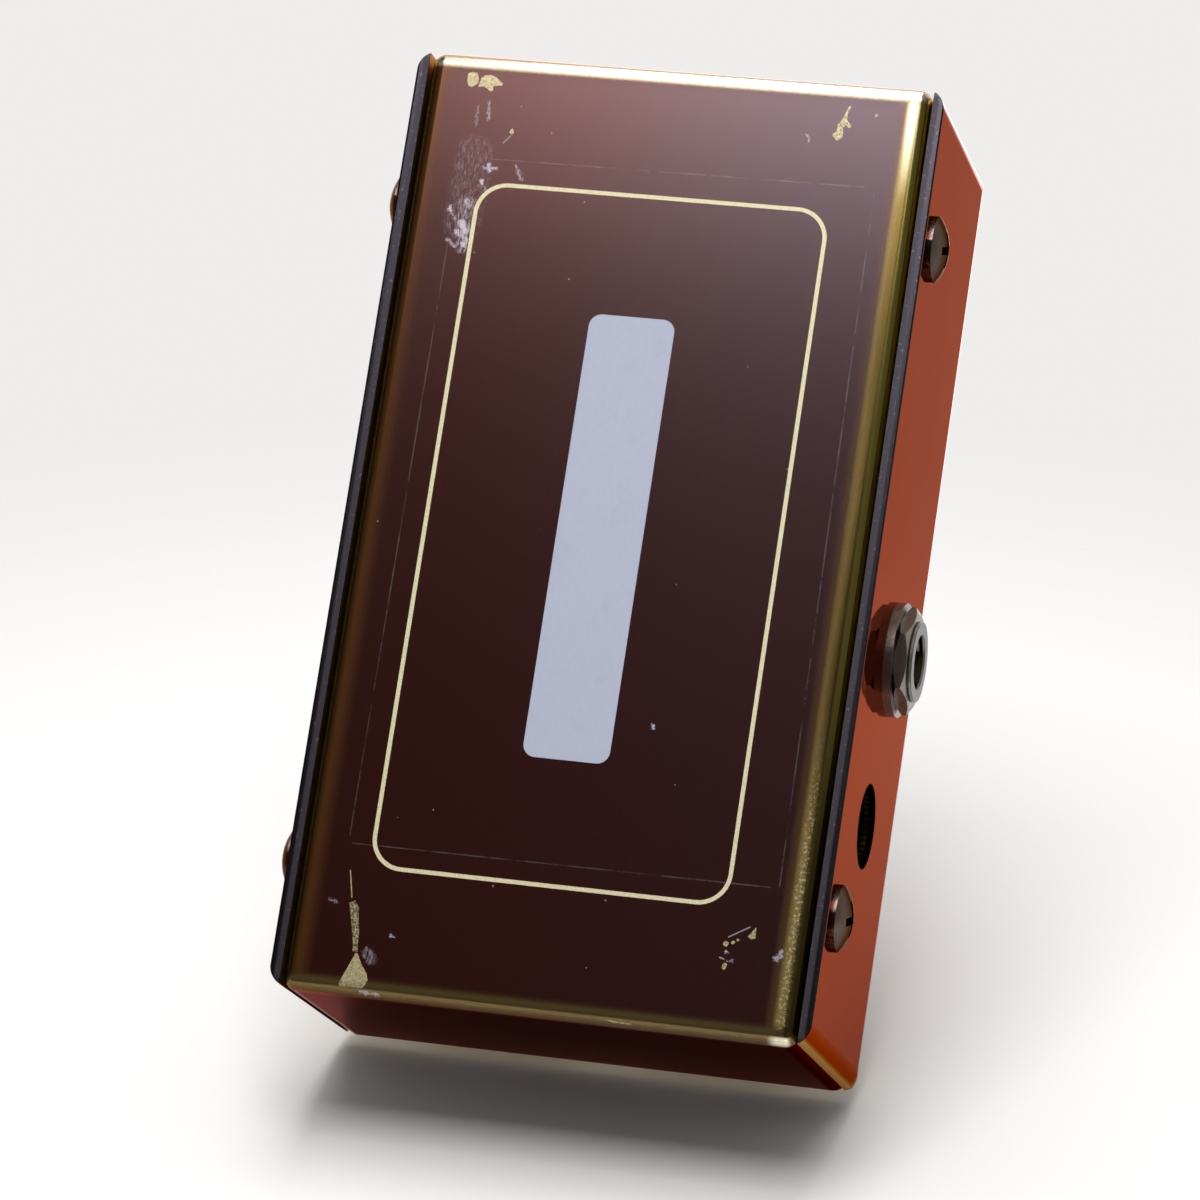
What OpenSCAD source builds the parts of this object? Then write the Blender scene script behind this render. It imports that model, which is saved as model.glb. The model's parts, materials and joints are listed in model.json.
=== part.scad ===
// Direct injection box: a folded sheet-metal case with sockets in its side walls and controls on top.
// X runs across the case towards the input jack, Y along it towards the rear end, Z up from the base.

/* [Case] */
// Length of the case over both end walls
body_l = 114; // [108:1:124]
// Width of the case over both side walls
body_w = 64; // [61:0.2:72]
// Height of the case from its base to the top panel's face
body_h = 33.5; // [32:0.5:42]
// Sheet thickness of the base tray
tray_t = 1.2; // [1:0.1:1.5]
// Sheet thickness of the top cover
cover_t = 1.4; // [1.1:0.1:1.7]
// Outer radius of the bends around the bottom plate, and of the tray's corners
plate_bend_r = 1.6; // [1.6:0.1:2.6]
// Outer radius of the cover's long bends
cover_bend_r = 3; // [2.4:0.1:4]
// Outer radius of the rolled upper edge of each end wall
end_roll_r = 3.3; // [2.6:0.1:4]
// Rounding of the cover's upright edges
edge_round = 2.8; // [1.2:0.1:3.2]
// Rounding of the side walls' lower corners, seen from the side
heel_round = 1; // [0.5:0.1:2]
// Rounding along the side walls' lower outer edges
rim_round = 0.3; // [0.2:0.1:0.6]
// Length of the lips that carry the top panel
lip_len = 6; // [4:0.5:7]
// Height of the tray's low side lips
side_lip_h = 4.6; // [4:0.2:5]
// Height of the tray's screw tabs
tab_h = 9.8; // [9.4:0.2:12]
// Width of the tray's screw tabs
tab_w = 14; // [10:0.5:18]
// Length of the welded returns at the tray's corners
corner_return = 3.6; // [3:0.1:5]

/* [Cover screws] */
// Distance of the front pair from the front end
screw_from_front = 18; // [14:0.5:22]
// Distance of the rear pair from the rear end
screw_from_rear = 16; // [13:0.5:22]
// Height of the screws above the base
screw_z = 5.2; // [4.9:0.1:6]
// Radius of the screw shank
screw_r = 2; // [1.6:0.1:2.1]
// Length of the shank under the head
screw_len = 6; // [5:0.5:8]
// Radius of the pan head
screw_head_r = 3.9; // [3.2:0.1:4.2]
// Height of the pan head
screw_head_h = 1.9; // [1.6:0.1:2.6]
// Length of the cross recess
cross_l = 4.2; // [3:0.2:5]
// Width of the cross recess
cross_w = 0.95; // [0.7:0.05:1.2]
// Depth of the cross recess
cross_d = 1.2; // [0.8:0.1:1.5]
// Radius of the tapped collars behind the tabs
collar_r = 3.1; // [2.8:0.1:3.4]
// Length of the tapped collars
collar_l = 2; // [1.5:0.1:3]

/* [Input jack] */
// Distance of the jack from the rear end
jack_from_rear = 49.4; // [46:0.2:52]
// Height of the jack's axis above the base
jack_z = 17.4; // [15.5:0.1:18]
// Bore radius for a quarter-inch plug
jack_bore_r = 3.25; // [3.2:0.05:3.4]
// Outer radius of the threaded bushing
jack_thread_r = 4.7; // [4.5:0.05:5]
// Radius of the bushing's inner flange
jack_flange_r = 6.3; // [5.8:0.1:6.8]
// Thickness of the bushing's inner flange
jack_flange_t = 2; // [1.5:0.1:2.5]
// How far the bushing stands past its nut
jack_proud = 0.5; // [0.3:0.1:1.2]
// Radius of the flat washer
jack_washer_r = 6.75; // [6.4:0.05:7.5]
// Thickness of the flat washer
jack_washer_t = 1; // [0.6:0.1:1.2]
// Width across the nut's flats
jack_nut_af = 11; // [10.6:0.1:12.5]
// Thickness of the nut
jack_nut_t = 1.5; // [1.4:0.1:2.4]
// Turn of the nut about its axis, in degrees
jack_nut_turn = 13; // [0:1:30]
// Width of the sleeve contact in the bore
sleeve_w = 3.4; // [2.6:0.1:3.8]
// Depth of the groove that holds the sleeve contact
sleeve_groove = 0.8; // [0.6:0.05:0.9]
// Thickness of the contact springs
spring_t = 0.4; // [0.3:0.05:0.5]
// Width of the housing
jack_housing_w = 16; // [15:0.5:17]
// Height of the housing
jack_housing_h = 14; // [13.6:0.2:15]
// Depth of the housing behind the bushing
jack_housing_d = 22; // [20:0.5:24]
// Wall thickness of the housing
jack_housing_wall = 2; // [1.5:0.1:2.4]

/* [Power jack] */
// Distance of the power jack from the rear end
power_from_rear = 28.8; // [26:0.2:31]
// Radius of the plug hole in the wall
power_hole_r = 5; // [4.8:0.1:5.4]
// Width of the housing
power_w = 9; // [8.6:0.1:10]
// Height of the housing
power_h = 11; // [10.6:0.1:12]
// Depth of the housing
power_d = 14; // [13:0.2:15]
// Drop of the socket's axis below the board
power_axis_drop = 5.1; // [5:0.1:5.8]
// Gap between the wall and the housing
power_setback = 0.5; // [0.3:0.1:1]
// Radius of the plug socket
power_socket_r = 3; // [2.85:0.05:3.2]
// Depth of the plug socket
power_socket_d = 10; // [9:0.2:11]
// Radius of the centre pin
power_pin_r = 1.05; // [1:0.05:1.25]

/* [Balanced output] */
// Distance of the socket from the rear end
xlr_from_rear = 55; // [53:0.2:58]
// Height of the socket's axis above the base
xlr_z = 17.2; // [17:0.1:18]
// Outer radius of the socket's barrel
xlr_barrel_r = 9.4; // [9.2:0.1:9.8]
// Radius of the socket's cavity
xlr_cavity_r = 8.15; // [8:0.05:8.3]
// Depth of the socket's cavity
xlr_cavity_d = 13; // [12:0.2:14]
// Depth of the socket behind the wall's face
xlr_depth = 19.6; // [18.6:0.2:20.6]
// Width of the flange
xlr_flange_w = 31; // [30:0.2:32]
// Height of the flange
xlr_flange_h = 24; // [22:0.2:24.4]
// Thickness of the flange
xlr_flange_t = 2.6; // [2.4:0.1:3]
// Radius of the contact pins
xlr_pin_r = 1.2; // [1.1:0.05:1.3]
// Radius of the circle that the pins stand on
xlr_pin_circle = 4.6; // [4.2:0.1:5]
// Length of the pins in the cavity
xlr_pin_l = 10.5; // [9:0.1:11.5]
// Length of the pins behind the socket
xlr_tail_l = 1.6; // [1.2:0.1:2]
// Half spacing of the flange screws
xlr_screw_half = 12.3; // [12:0.1:12.6]
// Shank radius of the flange screws
xlr_screw_r = 1.4; // [1.2:0.1:1.5]
// Head radius of the flange screws
xlr_screw_head_r = 2.5; // [2.2:0.1:2.6]

/* [Ground switch] */
// Gap between the balanced socket's flange and the switch
lift_gap = 2.5; // [1.5:0.1:4]
// Length of the switch body
lift_l = 14; // [13:0.2:16]
// Height of the switch body
lift_h = 8; // [7.4:0.1:9]
// Depth of the switch body
lift_d = 7; // [6.4:0.1:8]
// Gap between the wall and the switch body
lift_setback = 0.5; // [0.3:0.1:0.8]
// Width of the slider's knob along its travel
lift_knob_w = 3.6; // [3:0.1:4.4]
// Height of the slider's knob
lift_knob_h = 3.2; // [2.6:0.1:3.8]
// Travel of the slider
lift_travel = 4; // [3:0.1:4.6]
// How far the slider's knob lies below the wall's face
lift_recess = 0.3; // [0.1:0.1:0.8]

/* [Circuit board] */
// Height of the top panel's underside above the board
board_drop = 10.6; // [10:0.1:12]
// Thickness of the board
board_t = 1.6; // [1.2:0.1:2]
// Gap between the board and each side wall
board_side_gap = 3.4; // [2.6:0.1:5]
// Gap between the board and the rear end wall
board_rear_gap = 4.8; // [3:0.2:6]
// Gap between the input jack's housing and the board
board_front_gap = 3.8; // [2.6:0.1:5]
// Length of the transformer's core, across the case
core_l = 20; // [18:0.5:21]
// Width of the transformer's core
core_w = 16; // [14:0.5:16.4]
// Thickness of the transformer's core
core_t = 10; // [8:0.5:11]
// Width of the core's middle leg
core_leg = 5; // [4:0.2:6]
// Width of the core's windows
core_window = 4; // [3.4:0.1:4.4]
// How far the winding stands out of the core, above and below
winding_proud = 2; // [1.5:0.1:2.5]
// Gap between the transformer and its neighbours below the board
core_gap = 1.2; // [0.6:0.1:1.6]
// Radius of the capacitors
cap_r = 3.15; // [2.5:0.05:3.3]
// Gap between the capacitors, and from them to the board's edges
cap_gap = 1; // [0.6:0.1:1.4]
// Height of the capacitors
cap_h = 11; // [9:0.5:13]
// Length of the amplifier chips
chip_l = 9.6; // [9:0.1:10.2]
// Width of the amplifier chips
chip_w = 6.4; // [6:0.1:6.8]
// Thickness of the amplifier chips
chip_t = 3.2; // [2.6:0.1:3.4]
// Radius of the resistors
resistor_r = 1.15; // [0.9:0.05:1.3]
// Length of the resistors
resistor_l = 6.4; // [5.6:0.1:6.8]
// Radius of the hook-up leads
lead_r = 0.6; // [0.4:0.05:0.65]
// Drop of the topmost lead's run below the board
lead_drop = 3; // [2:0.1:3.4]

/* [Controls] */
// Spacing of the two knobs
pot_spacing = 28; // [26:0.5:30]
// Gap between the panel's rear lip and the potentiometers
pot_gap = 1.7; // [1:0.1:3]
// Radius of the potentiometer bodies
pot_r = 8; // [7.4:0.1:8.4]
// Height of the potentiometer bodies
pot_h = 7; // [6:0.2:8]
// Radius of the potentiometers' threaded bushings
pot_thread_r = 3.5; // [3.4:0.1:3.8]
// Height of the bushings above the panel
pot_thread_h = 5.5; // [5:0.1:6]
// Radius of the control shafts
shaft_r = 3; // [2.6:0.1:3]
// Radius of the knobs at the skirt
knob_r = 8; // [7.6:0.1:9]
// Radius of the knobs' grip
grip_r = 7.2; // [7:0.1:7.3]
// Height of the knobs
knob_h = 12.6; // [11.6:0.1:15]
// Gap between the knobs and the panel
knob_gap = 0.7; // [0.4:0.1:1.2]
// Number of flutes around a knob
knob_flutes = 20; // [12:1:24]
// Radius of the flutes
flute_r = 0.7; // [0.4:0.05:0.8]
// Width of the pointer inlay
inlay_w = 1; // [0.6:0.1:1.4]
// Width across the potentiometer nuts' flats
pot_nut_af = 10; // [9.6:0.1:10.4]
// Thickness of the potentiometer nuts
pot_nut_t = 2; // [1.6:0.1:2.4]
// Thickness of the potentiometer and footswitch washers
panel_washer_t = 0.7; // [0.5:0.1:1]

/* [Footswitch] */
// Gap between the panel's front lip and the footswitch
foot_gap = 2.4; // [1.5:0.1:4]
// Length of the footswitch body along the case
foot_l = 18.4; // [17.6:0.2:19]
// Width of the footswitch body
foot_w = 17.4; // [16.6:0.2:18]
// Height of the footswitch body
foot_h = 17.6; // [16:0.2:18.4]
// Radius of the threaded bushing
foot_thread_r = 6; // [5.8:0.1:6.2]
// Height of the bushing above the panel
foot_thread_h = 6.5; // [6:0.1:8]
// Radius of the plunger
foot_plunger_r = 4.6; // [4.2:0.1:4.8]
// Height of the plunger above its bushing
foot_plunger_h = 5; // [4.4:0.1:6]
// Travel of the plunger
foot_travel = 2.4; // [2:0.1:3]
// Thickness of the plunger's inner collar
foot_collar_t = 1.4; // [1:0.1:1.8]
// Width across the nut's flats
foot_nut_af = 14; // [13.6:0.2:16]
// Thickness of the nut
foot_nut_t = 2.4; // [2:0.1:3]
// Radius of the dress washer
foot_washer_r = 8.6; // [8.2:0.1:10]
// Length of the solder terminals
foot_terminal_l = 1.8; // [1.4:0.1:2.4]
// Gap between the ribbon's headers and the leads beside them
ribbon_gap = 1.2; // [0.6:0.1:2]
// Thickness of the ribbon cable
ribbon_t = 0.9; // [0.7:0.1:1]
// Height of the ribbon headers
header_h = 2.6; // [2.2:0.1:3]
// Length of the ribbon headers along the case
header_l = 4; // [3:0.2:5]

/* [Indicator] */
// Distance of the indicator from the rear end
led_from_rear = 51; // [46:0.5:54]
// Radius of the indicator's lens
led_r = 2.5; // [1.5:0.1:2.5]
// Wall of the bezel around the lens
bezel_wall = 0.6; // [0.5:0.1:0.8]
// Width of the bezel's rim
bezel_rim = 1; // [0.6:0.1:1.5]
// Height of the bezel's rim
bezel_rim_h = 0.9; // [0.6:0.1:1.4]
// Depth of the bezel below the panel
bezel_depth = 4; // [3:0.1:4.6]

/* [Clearances] */
// Gap between the tray and the cover
fit_gap = 0.2; // [0.15:0.05:0.3]
// Radial gap of bushings in their panel holes
hole_gap = 0.15; // [0.1:0.05:0.3]
// Radial gap of a screw in a clearance hole
screw_gap = 0.25; // [0.2:0.05:0.4]
// Radial gap drawn at a thread
thread_gap = 0.05; // [0.03:0.01:0.08]
// Radial gap of shafts and plungers in their bushings
run_gap = 0.05; // [0.03:0.01:0.08]
// Gap of sliding and inserted pieces in their pockets
slide_gap = 0.2; // [0.15:0.05:0.3]

/* [Hidden] */
$fn = 72;
overcut = 1;

// Case lines
half_l = body_l / 2;
half_w = body_w / 2;
wall_in = half_w - cover_t;
panel_under = body_h - cover_t;
tray_half_w = wall_in - fit_gap;
tray_in = tray_half_w - tray_t;
lip_top = panel_under - fit_gap;
lip_end = half_l - end_roll_r - lip_len;
lip_half_w = wall_in - cover_bend_r + cover_t - fit_gap;
panel_half_l = half_l - end_roll_r - tray_t - fit_gap;
screw_ys = [-half_l + screw_from_front, half_l - screw_from_rear];

// Input jack lines
jack_y = half_l - jack_from_rear;
jack_face = half_w + jack_washer_t + jack_nut_t + jack_proud;
jack_flange_in = wall_in - jack_flange_t;
jack_back = jack_flange_in - jack_housing_d;
sleeve_z = jack_bore_r + sleeve_groove;

// Board lines
board_top = panel_under - board_drop;
board_under = board_top - board_t;
board_y0 = jack_y + jack_housing_w / 2 + board_front_gap;
board_y1 = half_l - tray_t - board_rear_gap;
board_w = 2 * (wall_in - board_side_gap);

// Power jack lines
power_y = half_l - power_from_rear;
power_z = board_under - power_axis_drop;
power_face = wall_in - power_setback;

// Balanced output lines
xlr_y = half_l - xlr_from_rear;
xlr_back = -half_w + xlr_depth;
xlr_floor = -half_w + xlr_cavity_d;
xlr_pin_angles = [30, 150, 270];

// Ground switch lines
lift_y = xlr_y + xlr_flange_w / 2 + lift_gap + lift_l / 2;
lift_z = board_under - lift_h / 2;
lift_face = -wall_in + lift_setback;
lift_slot_l = lift_knob_w + lift_travel + 2 * slide_gap;
lift_rest_y = lift_y - lift_travel / 2;

// Control lines
pot_y = lip_end - pot_gap - pot_r;
pot_xs = [-pot_spacing / 2, pot_spacing / 2];
pot_thread_top = body_h + pot_thread_h;
knob_z = body_h + knob_gap;
knob_well_r = pot_nut_af / sqrt(3) + 0.4;
knob_socket_floor = pot_thread_top + knob_gap;
shaft_top = knob_z + knob_h * 0.8;

// Footswitch lines
foot_y = -(lip_end - foot_gap - foot_l / 2);
foot_bottom = panel_under - foot_h;
foot_board_top = foot_bottom - foot_terminal_l;
foot_board_under = foot_board_top - board_t;
foot_thread_top = body_h + foot_thread_h;
foot_collar_top = panel_under - cover_t;
foot_well_z = foot_collar_top - foot_collar_t - foot_travel - 2 * slide_gap;

// Lead and ribbon lines
lead_pitch = 2.5 * lead_r;
output_lead_x = xlr_back + xlr_tail_l + 2 * lead_r;
input_lead_x = jack_back - 2 * lead_r;
ribbon_x = (output_lead_x + input_lead_x) / 2;
ribbon_w = input_lead_x - output_lead_x - 2 * lead_r - 2 * ribbon_gap;
main_header_y = board_y0 + header_l;
foot_header_y = foot_y + foot_l / 2 - header_l;
main_header_z = board_under - header_h;
foot_header_z = foot_board_under - header_h;

// Transformer lines
core_x = lift_face + lift_d + core_gap + core_l / 2;
core_y = main_header_y + header_l / 2 + core_gap + core_w / 2;
core_z = board_under - winding_proud - core_t / 2;
core_window_l = core_w - core_leg;

// Shared shapes

// Quarter of a flat ring, in the first quadrant
module quarter_ring(r_out, r_in) {
    intersection() {
        difference() {
            circle(r_out);
            circle(r_in);
        }
        square(r_out);
    }
}

// What rounding by r takes off a corner at the origin's upper right
module corner_waste(r) {
    difference() {
        square(r + overcut);
        circle(r);
    }
}

// Rectangle centred across, standing on the axis, with rounded lower and upper corners
module rounded_sheet(w, h, r_low, r_high) {
    difference() {
        translate([-w / 2, 0]) square([w, h]);
        for (side = [0, 1]) mirror([side, 0]) {
            translate([w / 2 - r_high, h - r_high]) corner_waste(r_high);
            translate([w / 2 - r_low, r_low]) mirror([0, 1]) corner_waste(r_low);
        }
    }
}

// Extrude a drawing of Y and Z along X, centred
module along_x(w) {
    rotate([90, 0, 90]) translate([0, 0, -w / 2]) linear_extrude(w) children();
}

// Extrude a drawing of X and Z along Y, centred
module along_y(l) {
    rotate([90, 0, 0]) translate([0, 0, -l / 2]) linear_extrude(l) children();
}

// Turn a piece drawn along +Z so that it points along +X
module pointing_x() {
    rotate([0, 90, 0]) children();
}

// Block given by its low corner and its high corner
module block(low, high) {
    translate(low) cube(high - low);
}

// Flat ring standing on the plane
module ring(r_out, r_in, h) {
    difference() {
        cylinder(r = r_out, h = h);
        translate([0, 0, -overcut]) cylinder(r = r_in, h = h + 2 * overcut);
    }
}

// Hex nut with both faces chamfered
module hex_nut(af, h, bore_r) {
    corner_r = af / sqrt(3);
    chamfer = corner_r - af / 2;
    difference() {
        intersection() {
            cylinder(r = corner_r, h = h, $fn = 6);
            rotate_extrude() polygon([
                [0, 0], [af / 2, 0], [corner_r, chamfer * 0.58],
                [corner_r, h - chamfer * 0.58], [af / 2, h], [0, h]]);
        }
        translate([0, 0, -overcut]) cylinder(r = bore_r, h = h + 2 * overcut);
    }
}

// Round lead along points joined at right angles
module lead(points) {
    for (i = [0 : len(points) - 2]) {
        run = points[i + 1] - points[i];
        translate(points[i])
            rotate([0, acos(run.z / norm(run)), atan2(run.y, run.x)])
                cylinder(r = lead_r, h = norm(run), $fn = 24);
    }
    for (i = [1 : len(points) - 2]) translate(points[i]) sphere(r = lead_r, $fn = 24);
}

// Case

// Edge of the tray's pan, d inside its outer faces: a strip that ends in the rounded bend
module pan_edge(d) {
    r = plate_bend_r - d;
    translate([0, plate_bend_r]) square([r, body_h]);
    translate([0, plate_bend_r]) intersection() {
        circle(r);
        translate([0, -r]) square(r);
    }
}

// Pan as a full block, d inside its outer faces, with ball corners between its bends
module pan_form(d) {
    hub_x = tray_half_w - plate_bend_r;
    hub_y = half_l - plate_bend_r;
    block([-hub_x, -hub_y, d], [hub_x, hub_y, plate_bend_r + body_h]);
    for (side = [0, 1]) {
        mirror([side, 0, 0]) along_y(2 * hub_y) translate([hub_x, 0]) pan_edge(d);
        mirror([0, side, 0]) along_x(2 * hub_x) translate([hub_y, 0]) pan_edge(d);
        for (end = [0, 1]) mirror([side, 0, 0]) mirror([0, end, 0])
            translate([hub_x, hub_y, 0]) rotate_extrude(angle = 90) pan_edge(d);
    }
}

// Folded pan: plate, bends, end walls with corner returns, and low side lips
module tray_pan() {
    difference() {
        pan_form(0);
        pan_form(tray_t);
        block([-half_w, -half_l - overcut, body_h - end_roll_r],
              [half_w, half_l + overcut, body_h + overcut]);
        block([-half_w, corner_return - half_l, side_lip_h], [half_w, half_l - corner_return, body_h]);
    }
}

// Rolled upper edge of the rear end wall, with the step down to the panel's lip
module end_roll_section() {
    translate([half_l - end_roll_r, body_h - end_roll_r])
        quarter_ring(end_roll_r, end_roll_r - tray_t);
    translate([half_l - end_roll_r - tray_t, lip_top - tray_t])
        square([tray_t, body_h - lip_top + tray_t]);
}

// Screw tabs of one long side with their tapped collars
module tray_tabs() {
    for (y = screw_ys) {
        block([tray_in, y - tab_w / 2, plate_bend_r], [tray_half_w, y + tab_w / 2, tab_h]);
        translate([tray_in - collar_l, y, screw_z])
            pointing_x() cylinder(r = collar_r, h = collar_l + tray_t / 2);
    }
}

// Outer form across the case that tray and cover share, with rounded long edges
module case_section() {
    along_y(body_l + 2 * overcut) rounded_sheet(body_w, body_h, rim_round, cover_bend_r);
}

// Upright block w wide and as long as the case, with its upright edges rounded by r
module case_plan(w, r) {
    linear_extrude(body_h) translate([0, -half_l]) rounded_sheet(w, body_l, r, r);
}

module base_tray() {
    color("saddlebrown") intersection() {
        case_section();
        difference() {
            union() {
                tray_pan();
                for (side = [0, 1]) mirror([0, side, 0]) {
                    intersection() {
                        along_x(2 * tray_half_w) end_roll_section();
                        case_plan(2 * tray_half_w, plate_bend_r);
                    }
                    block([-lip_half_w, lip_end, lip_top - tray_t],
                          [lip_half_w, half_l - end_roll_r, lip_top]);
                }
                for (side = [0, 1]) mirror([side, 0, 0]) tray_tabs();
            }
            for (side = [0, 1]) mirror([side, 0, 0])
                for (y = screw_ys) translate([tray_in - collar_l - overcut, y, screw_z])
                    pointing_x() cylinder(r = screw_r + thread_gap, h = collar_l + tray_t + 2 * overcut);
        }
    }
}

// Folded cover before its holes: the panel stops short of the end walls' rolled edges
module cover_sheet() {
    inner_r = cover_bend_r - cover_t;
    difference() {
        intersection() {
            case_section();
            case_plan(body_w, edge_round);
            along_x(body_w) rounded_sheet(body_l, body_h, heel_round, end_roll_r);
        }
        along_y(body_l + 2 * overcut) translate([0, -inner_r])
            rounded_sheet(2 * wall_in, panel_under + inner_r, inner_r, inner_r);
        for (side = [0, 1]) mirror([0, side, 0])
            block([-wall_in, panel_half_l, 0], [wall_in, half_l + overcut, body_h + overcut]);
    }
}

module top_cover() {
    through = cover_t + 2 * overcut;
    color("sienna") difference() {
        cover_sheet();
        for (side = [0, 1]) mirror([side, 0, 0])
            for (y = screw_ys) translate([wall_in - overcut, y, screw_z])
                pointing_x() cylinder(r = screw_r + screw_gap, h = through);
        translate([wall_in - overcut, jack_y, jack_z])
            pointing_x() cylinder(r = jack_thread_r + hole_gap, h = through);
        translate([wall_in - overcut, power_y, power_z])
            pointing_x() cylinder(r = power_hole_r, h = through);
        translate([-half_w - overcut, xlr_y, xlr_z])
            pointing_x() cylinder(r = xlr_barrel_r + hole_gap, h = through);
        for (side = [-1, 1]) translate([-half_w, xlr_y + side * xlr_screw_half, xlr_z])
            pointing_x() flat_screw_form(screw_gap, overcut);
        block([-half_w - overcut, lift_y - lift_slot_l / 2, lift_z - lift_knob_h / 2 - slide_gap],
              [-wall_in + overcut, lift_y + lift_slot_l / 2, lift_z + lift_knob_h / 2 + slide_gap]);
        for (x = pot_xs) translate([x, pot_y, panel_under - overcut])
            cylinder(r = pot_thread_r + hole_gap, h = through);
        translate([0, foot_y, panel_under - overcut])
            cylinder(r = foot_thread_r + hole_gap, h = through);
        translate([0, half_l - led_from_rear, panel_under - overcut])
            cylinder(r = led_r + bezel_wall + hole_gap, h = through);
    }
}

// Pan-head screw with a cross recess, head out along +X
module pan_screw() {
    dome_h = screw_head_h * 0.7;
    dome_r = (pow(screw_head_r, 2) + pow(dome_h, 2)) / (2 * dome_h);
    pointing_x() difference() {
        union() {
            translate([0, 0, -screw_len]) cylinder(r = screw_r, h = screw_len);
            intersection() {
                cylinder(r = screw_head_r, h = screw_head_h);
                translate([0, 0, screw_head_h - dome_r]) sphere(r = dome_r);
            }
        }
        for (turn = [0, 90]) rotate(turn + 20)
            translate([-cross_l / 2, -cross_w / 2, screw_head_h - cross_d]) cube([cross_l, cross_w, cross_d]);
    }
}

module cover_screws() {
    color("dimgray") for (side = [0, 1]) mirror([side, 0, 0])
        for (y = screw_ys) translate([half_w, y, screw_z]) pan_screw();
}

// Input jack

module input_jack_bushing() {
    length = jack_face - jack_flange_in;
    color("gray") translate([jack_flange_in, jack_y, jack_z]) pointing_x() difference() {
        union() {
            cylinder(r = jack_flange_r, h = jack_flange_t);
            cylinder(r = jack_thread_r, h = length);
        }
        translate([0, 0, -overcut]) cylinder(r = jack_bore_r, h = length + 2 * overcut);
        block([-sleeve_z, -sleeve_w / 2 - slide_gap, -overcut],
              [0, sleeve_w / 2 + slide_gap, length - jack_proud / 2]);
    }
}

module input_jack_washer() {
    color("silver") translate([half_w, jack_y, jack_z])
        pointing_x() ring(jack_washer_r, jack_thread_r + hole_gap, jack_washer_t);
}

module input_jack_nut() {
    color("darkgray") translate([half_w + jack_washer_t, jack_y, jack_z])
        rotate([jack_nut_turn, 0, 0]) pointing_x() rotate(30)
            hex_nut(jack_nut_af, jack_nut_t, jack_thread_r + thread_gap);
}

module input_jack_housing() {
    well_r = jack_bore_r + 2 * slide_gap;
    well_d = jack_housing_d - jack_housing_wall;
    pocket = jack_housing_h / 2 - jack_housing_wall;
    color("black") translate([jack_back, jack_y, jack_z]) difference() {
        block([0, -jack_housing_w / 2, -jack_housing_h / 2],
              [jack_housing_d, jack_housing_w / 2, jack_housing_h / 2]);
        translate([jack_housing_d - well_d, 0, 0]) pointing_x() cylinder(r = well_r, h = well_d + overcut);
        block([jack_housing_wall, -sleeve_w / 2 - slide_gap, 0],
              [jack_housing_d + overcut, sleeve_w / 2 + slide_gap, pocket]);
    }
}

// Sleeve spring along the top of the bore, and the tip spring behind it
module input_jack_contacts() {
    spring_z = jack_z + sleeve_z - slide_gap / 2;
    tip_x0 = jack_back + jack_housing_wall + slide_gap;
    tip_x1 = jack_back + jack_housing_d * 0.45;
    sleeve_x1 = jack_face - jack_proud / 2 - slide_gap;
    color("gold") {
        block([tip_x1 + 2 * spring_t, jack_y - sleeve_w / 2, spring_z - spring_t],
              [sleeve_x1, jack_y + sleeve_w / 2, spring_z]);
        block([tip_x0, jack_y - sleeve_w / 2, spring_z - spring_t],
              [tip_x1, jack_y + sleeve_w / 2, spring_z]);
        block([tip_x1 - spring_t, jack_y - sleeve_w / 2, jack_z + jack_bore_r],
              [tip_x1, jack_y + sleeve_w / 2, spring_z]);
    }
}

// Power jack

module power_jack_housing() {
    shell = (power_w - 2 * power_socket_r) / 4;
    color("black") translate([power_face - power_d, power_y, 0]) difference() {
        block([0, -power_w / 2, board_under - power_h], [power_d, power_w / 2, board_under]);
        translate([power_d - power_socket_d, 0, power_z])
            pointing_x() cylinder(r = power_socket_r, h = power_socket_d + overcut);
        translate([-overcut, 0, power_z]) pointing_x() cylinder(r = power_pin_r, h = power_d);
        block([-overcut, -shell * 2, power_z - power_socket_r - shell],
              [power_d - shell * 2, shell * 2, power_z - power_socket_r]);
        block([power_d - power_socket_d, -shell * 2, power_z - power_socket_r - shell],
              [power_d - shell * 2, shell * 2, power_z - power_socket_r * 0.7]);
    }
}

module power_jack_pin() {
    color("silver") translate([power_face - power_d, power_y, power_z]) pointing_x() {
        cylinder(r = power_pin_r, h = power_d - power_setback - power_pin_r);
        translate([0, 0, power_d - power_setback - power_pin_r]) sphere(r = power_pin_r);
    }
}

module power_jack_contact() {
    shell = (power_w - 2 * power_socket_r) / 4;
    top = power_z - power_socket_r - slide_gap / 2;
    color("silver")
        block([power_face - power_d, power_y - shell * 2 + slide_gap, top - spring_t],
              [power_face - shell * 4, power_y + shell * 2 - slide_gap, top]);
}

// Balanced output

// Countersunk screw drawn along +Z from its face, grown by gap, with its face raised by rise
module flat_screw_form(gap, rise) {
    head_h = xlr_screw_head_r - xlr_screw_r;
    if (rise > 0) translate([0, 0, -rise]) cylinder(r = xlr_screw_head_r + gap, h = rise);
    cylinder(r1 = xlr_screw_head_r + gap, r2 = xlr_screw_r + gap, h = head_h);
    cylinder(r = xlr_screw_r + gap, h = cover_t + xlr_flange_t - slide_gap);
}

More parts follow.
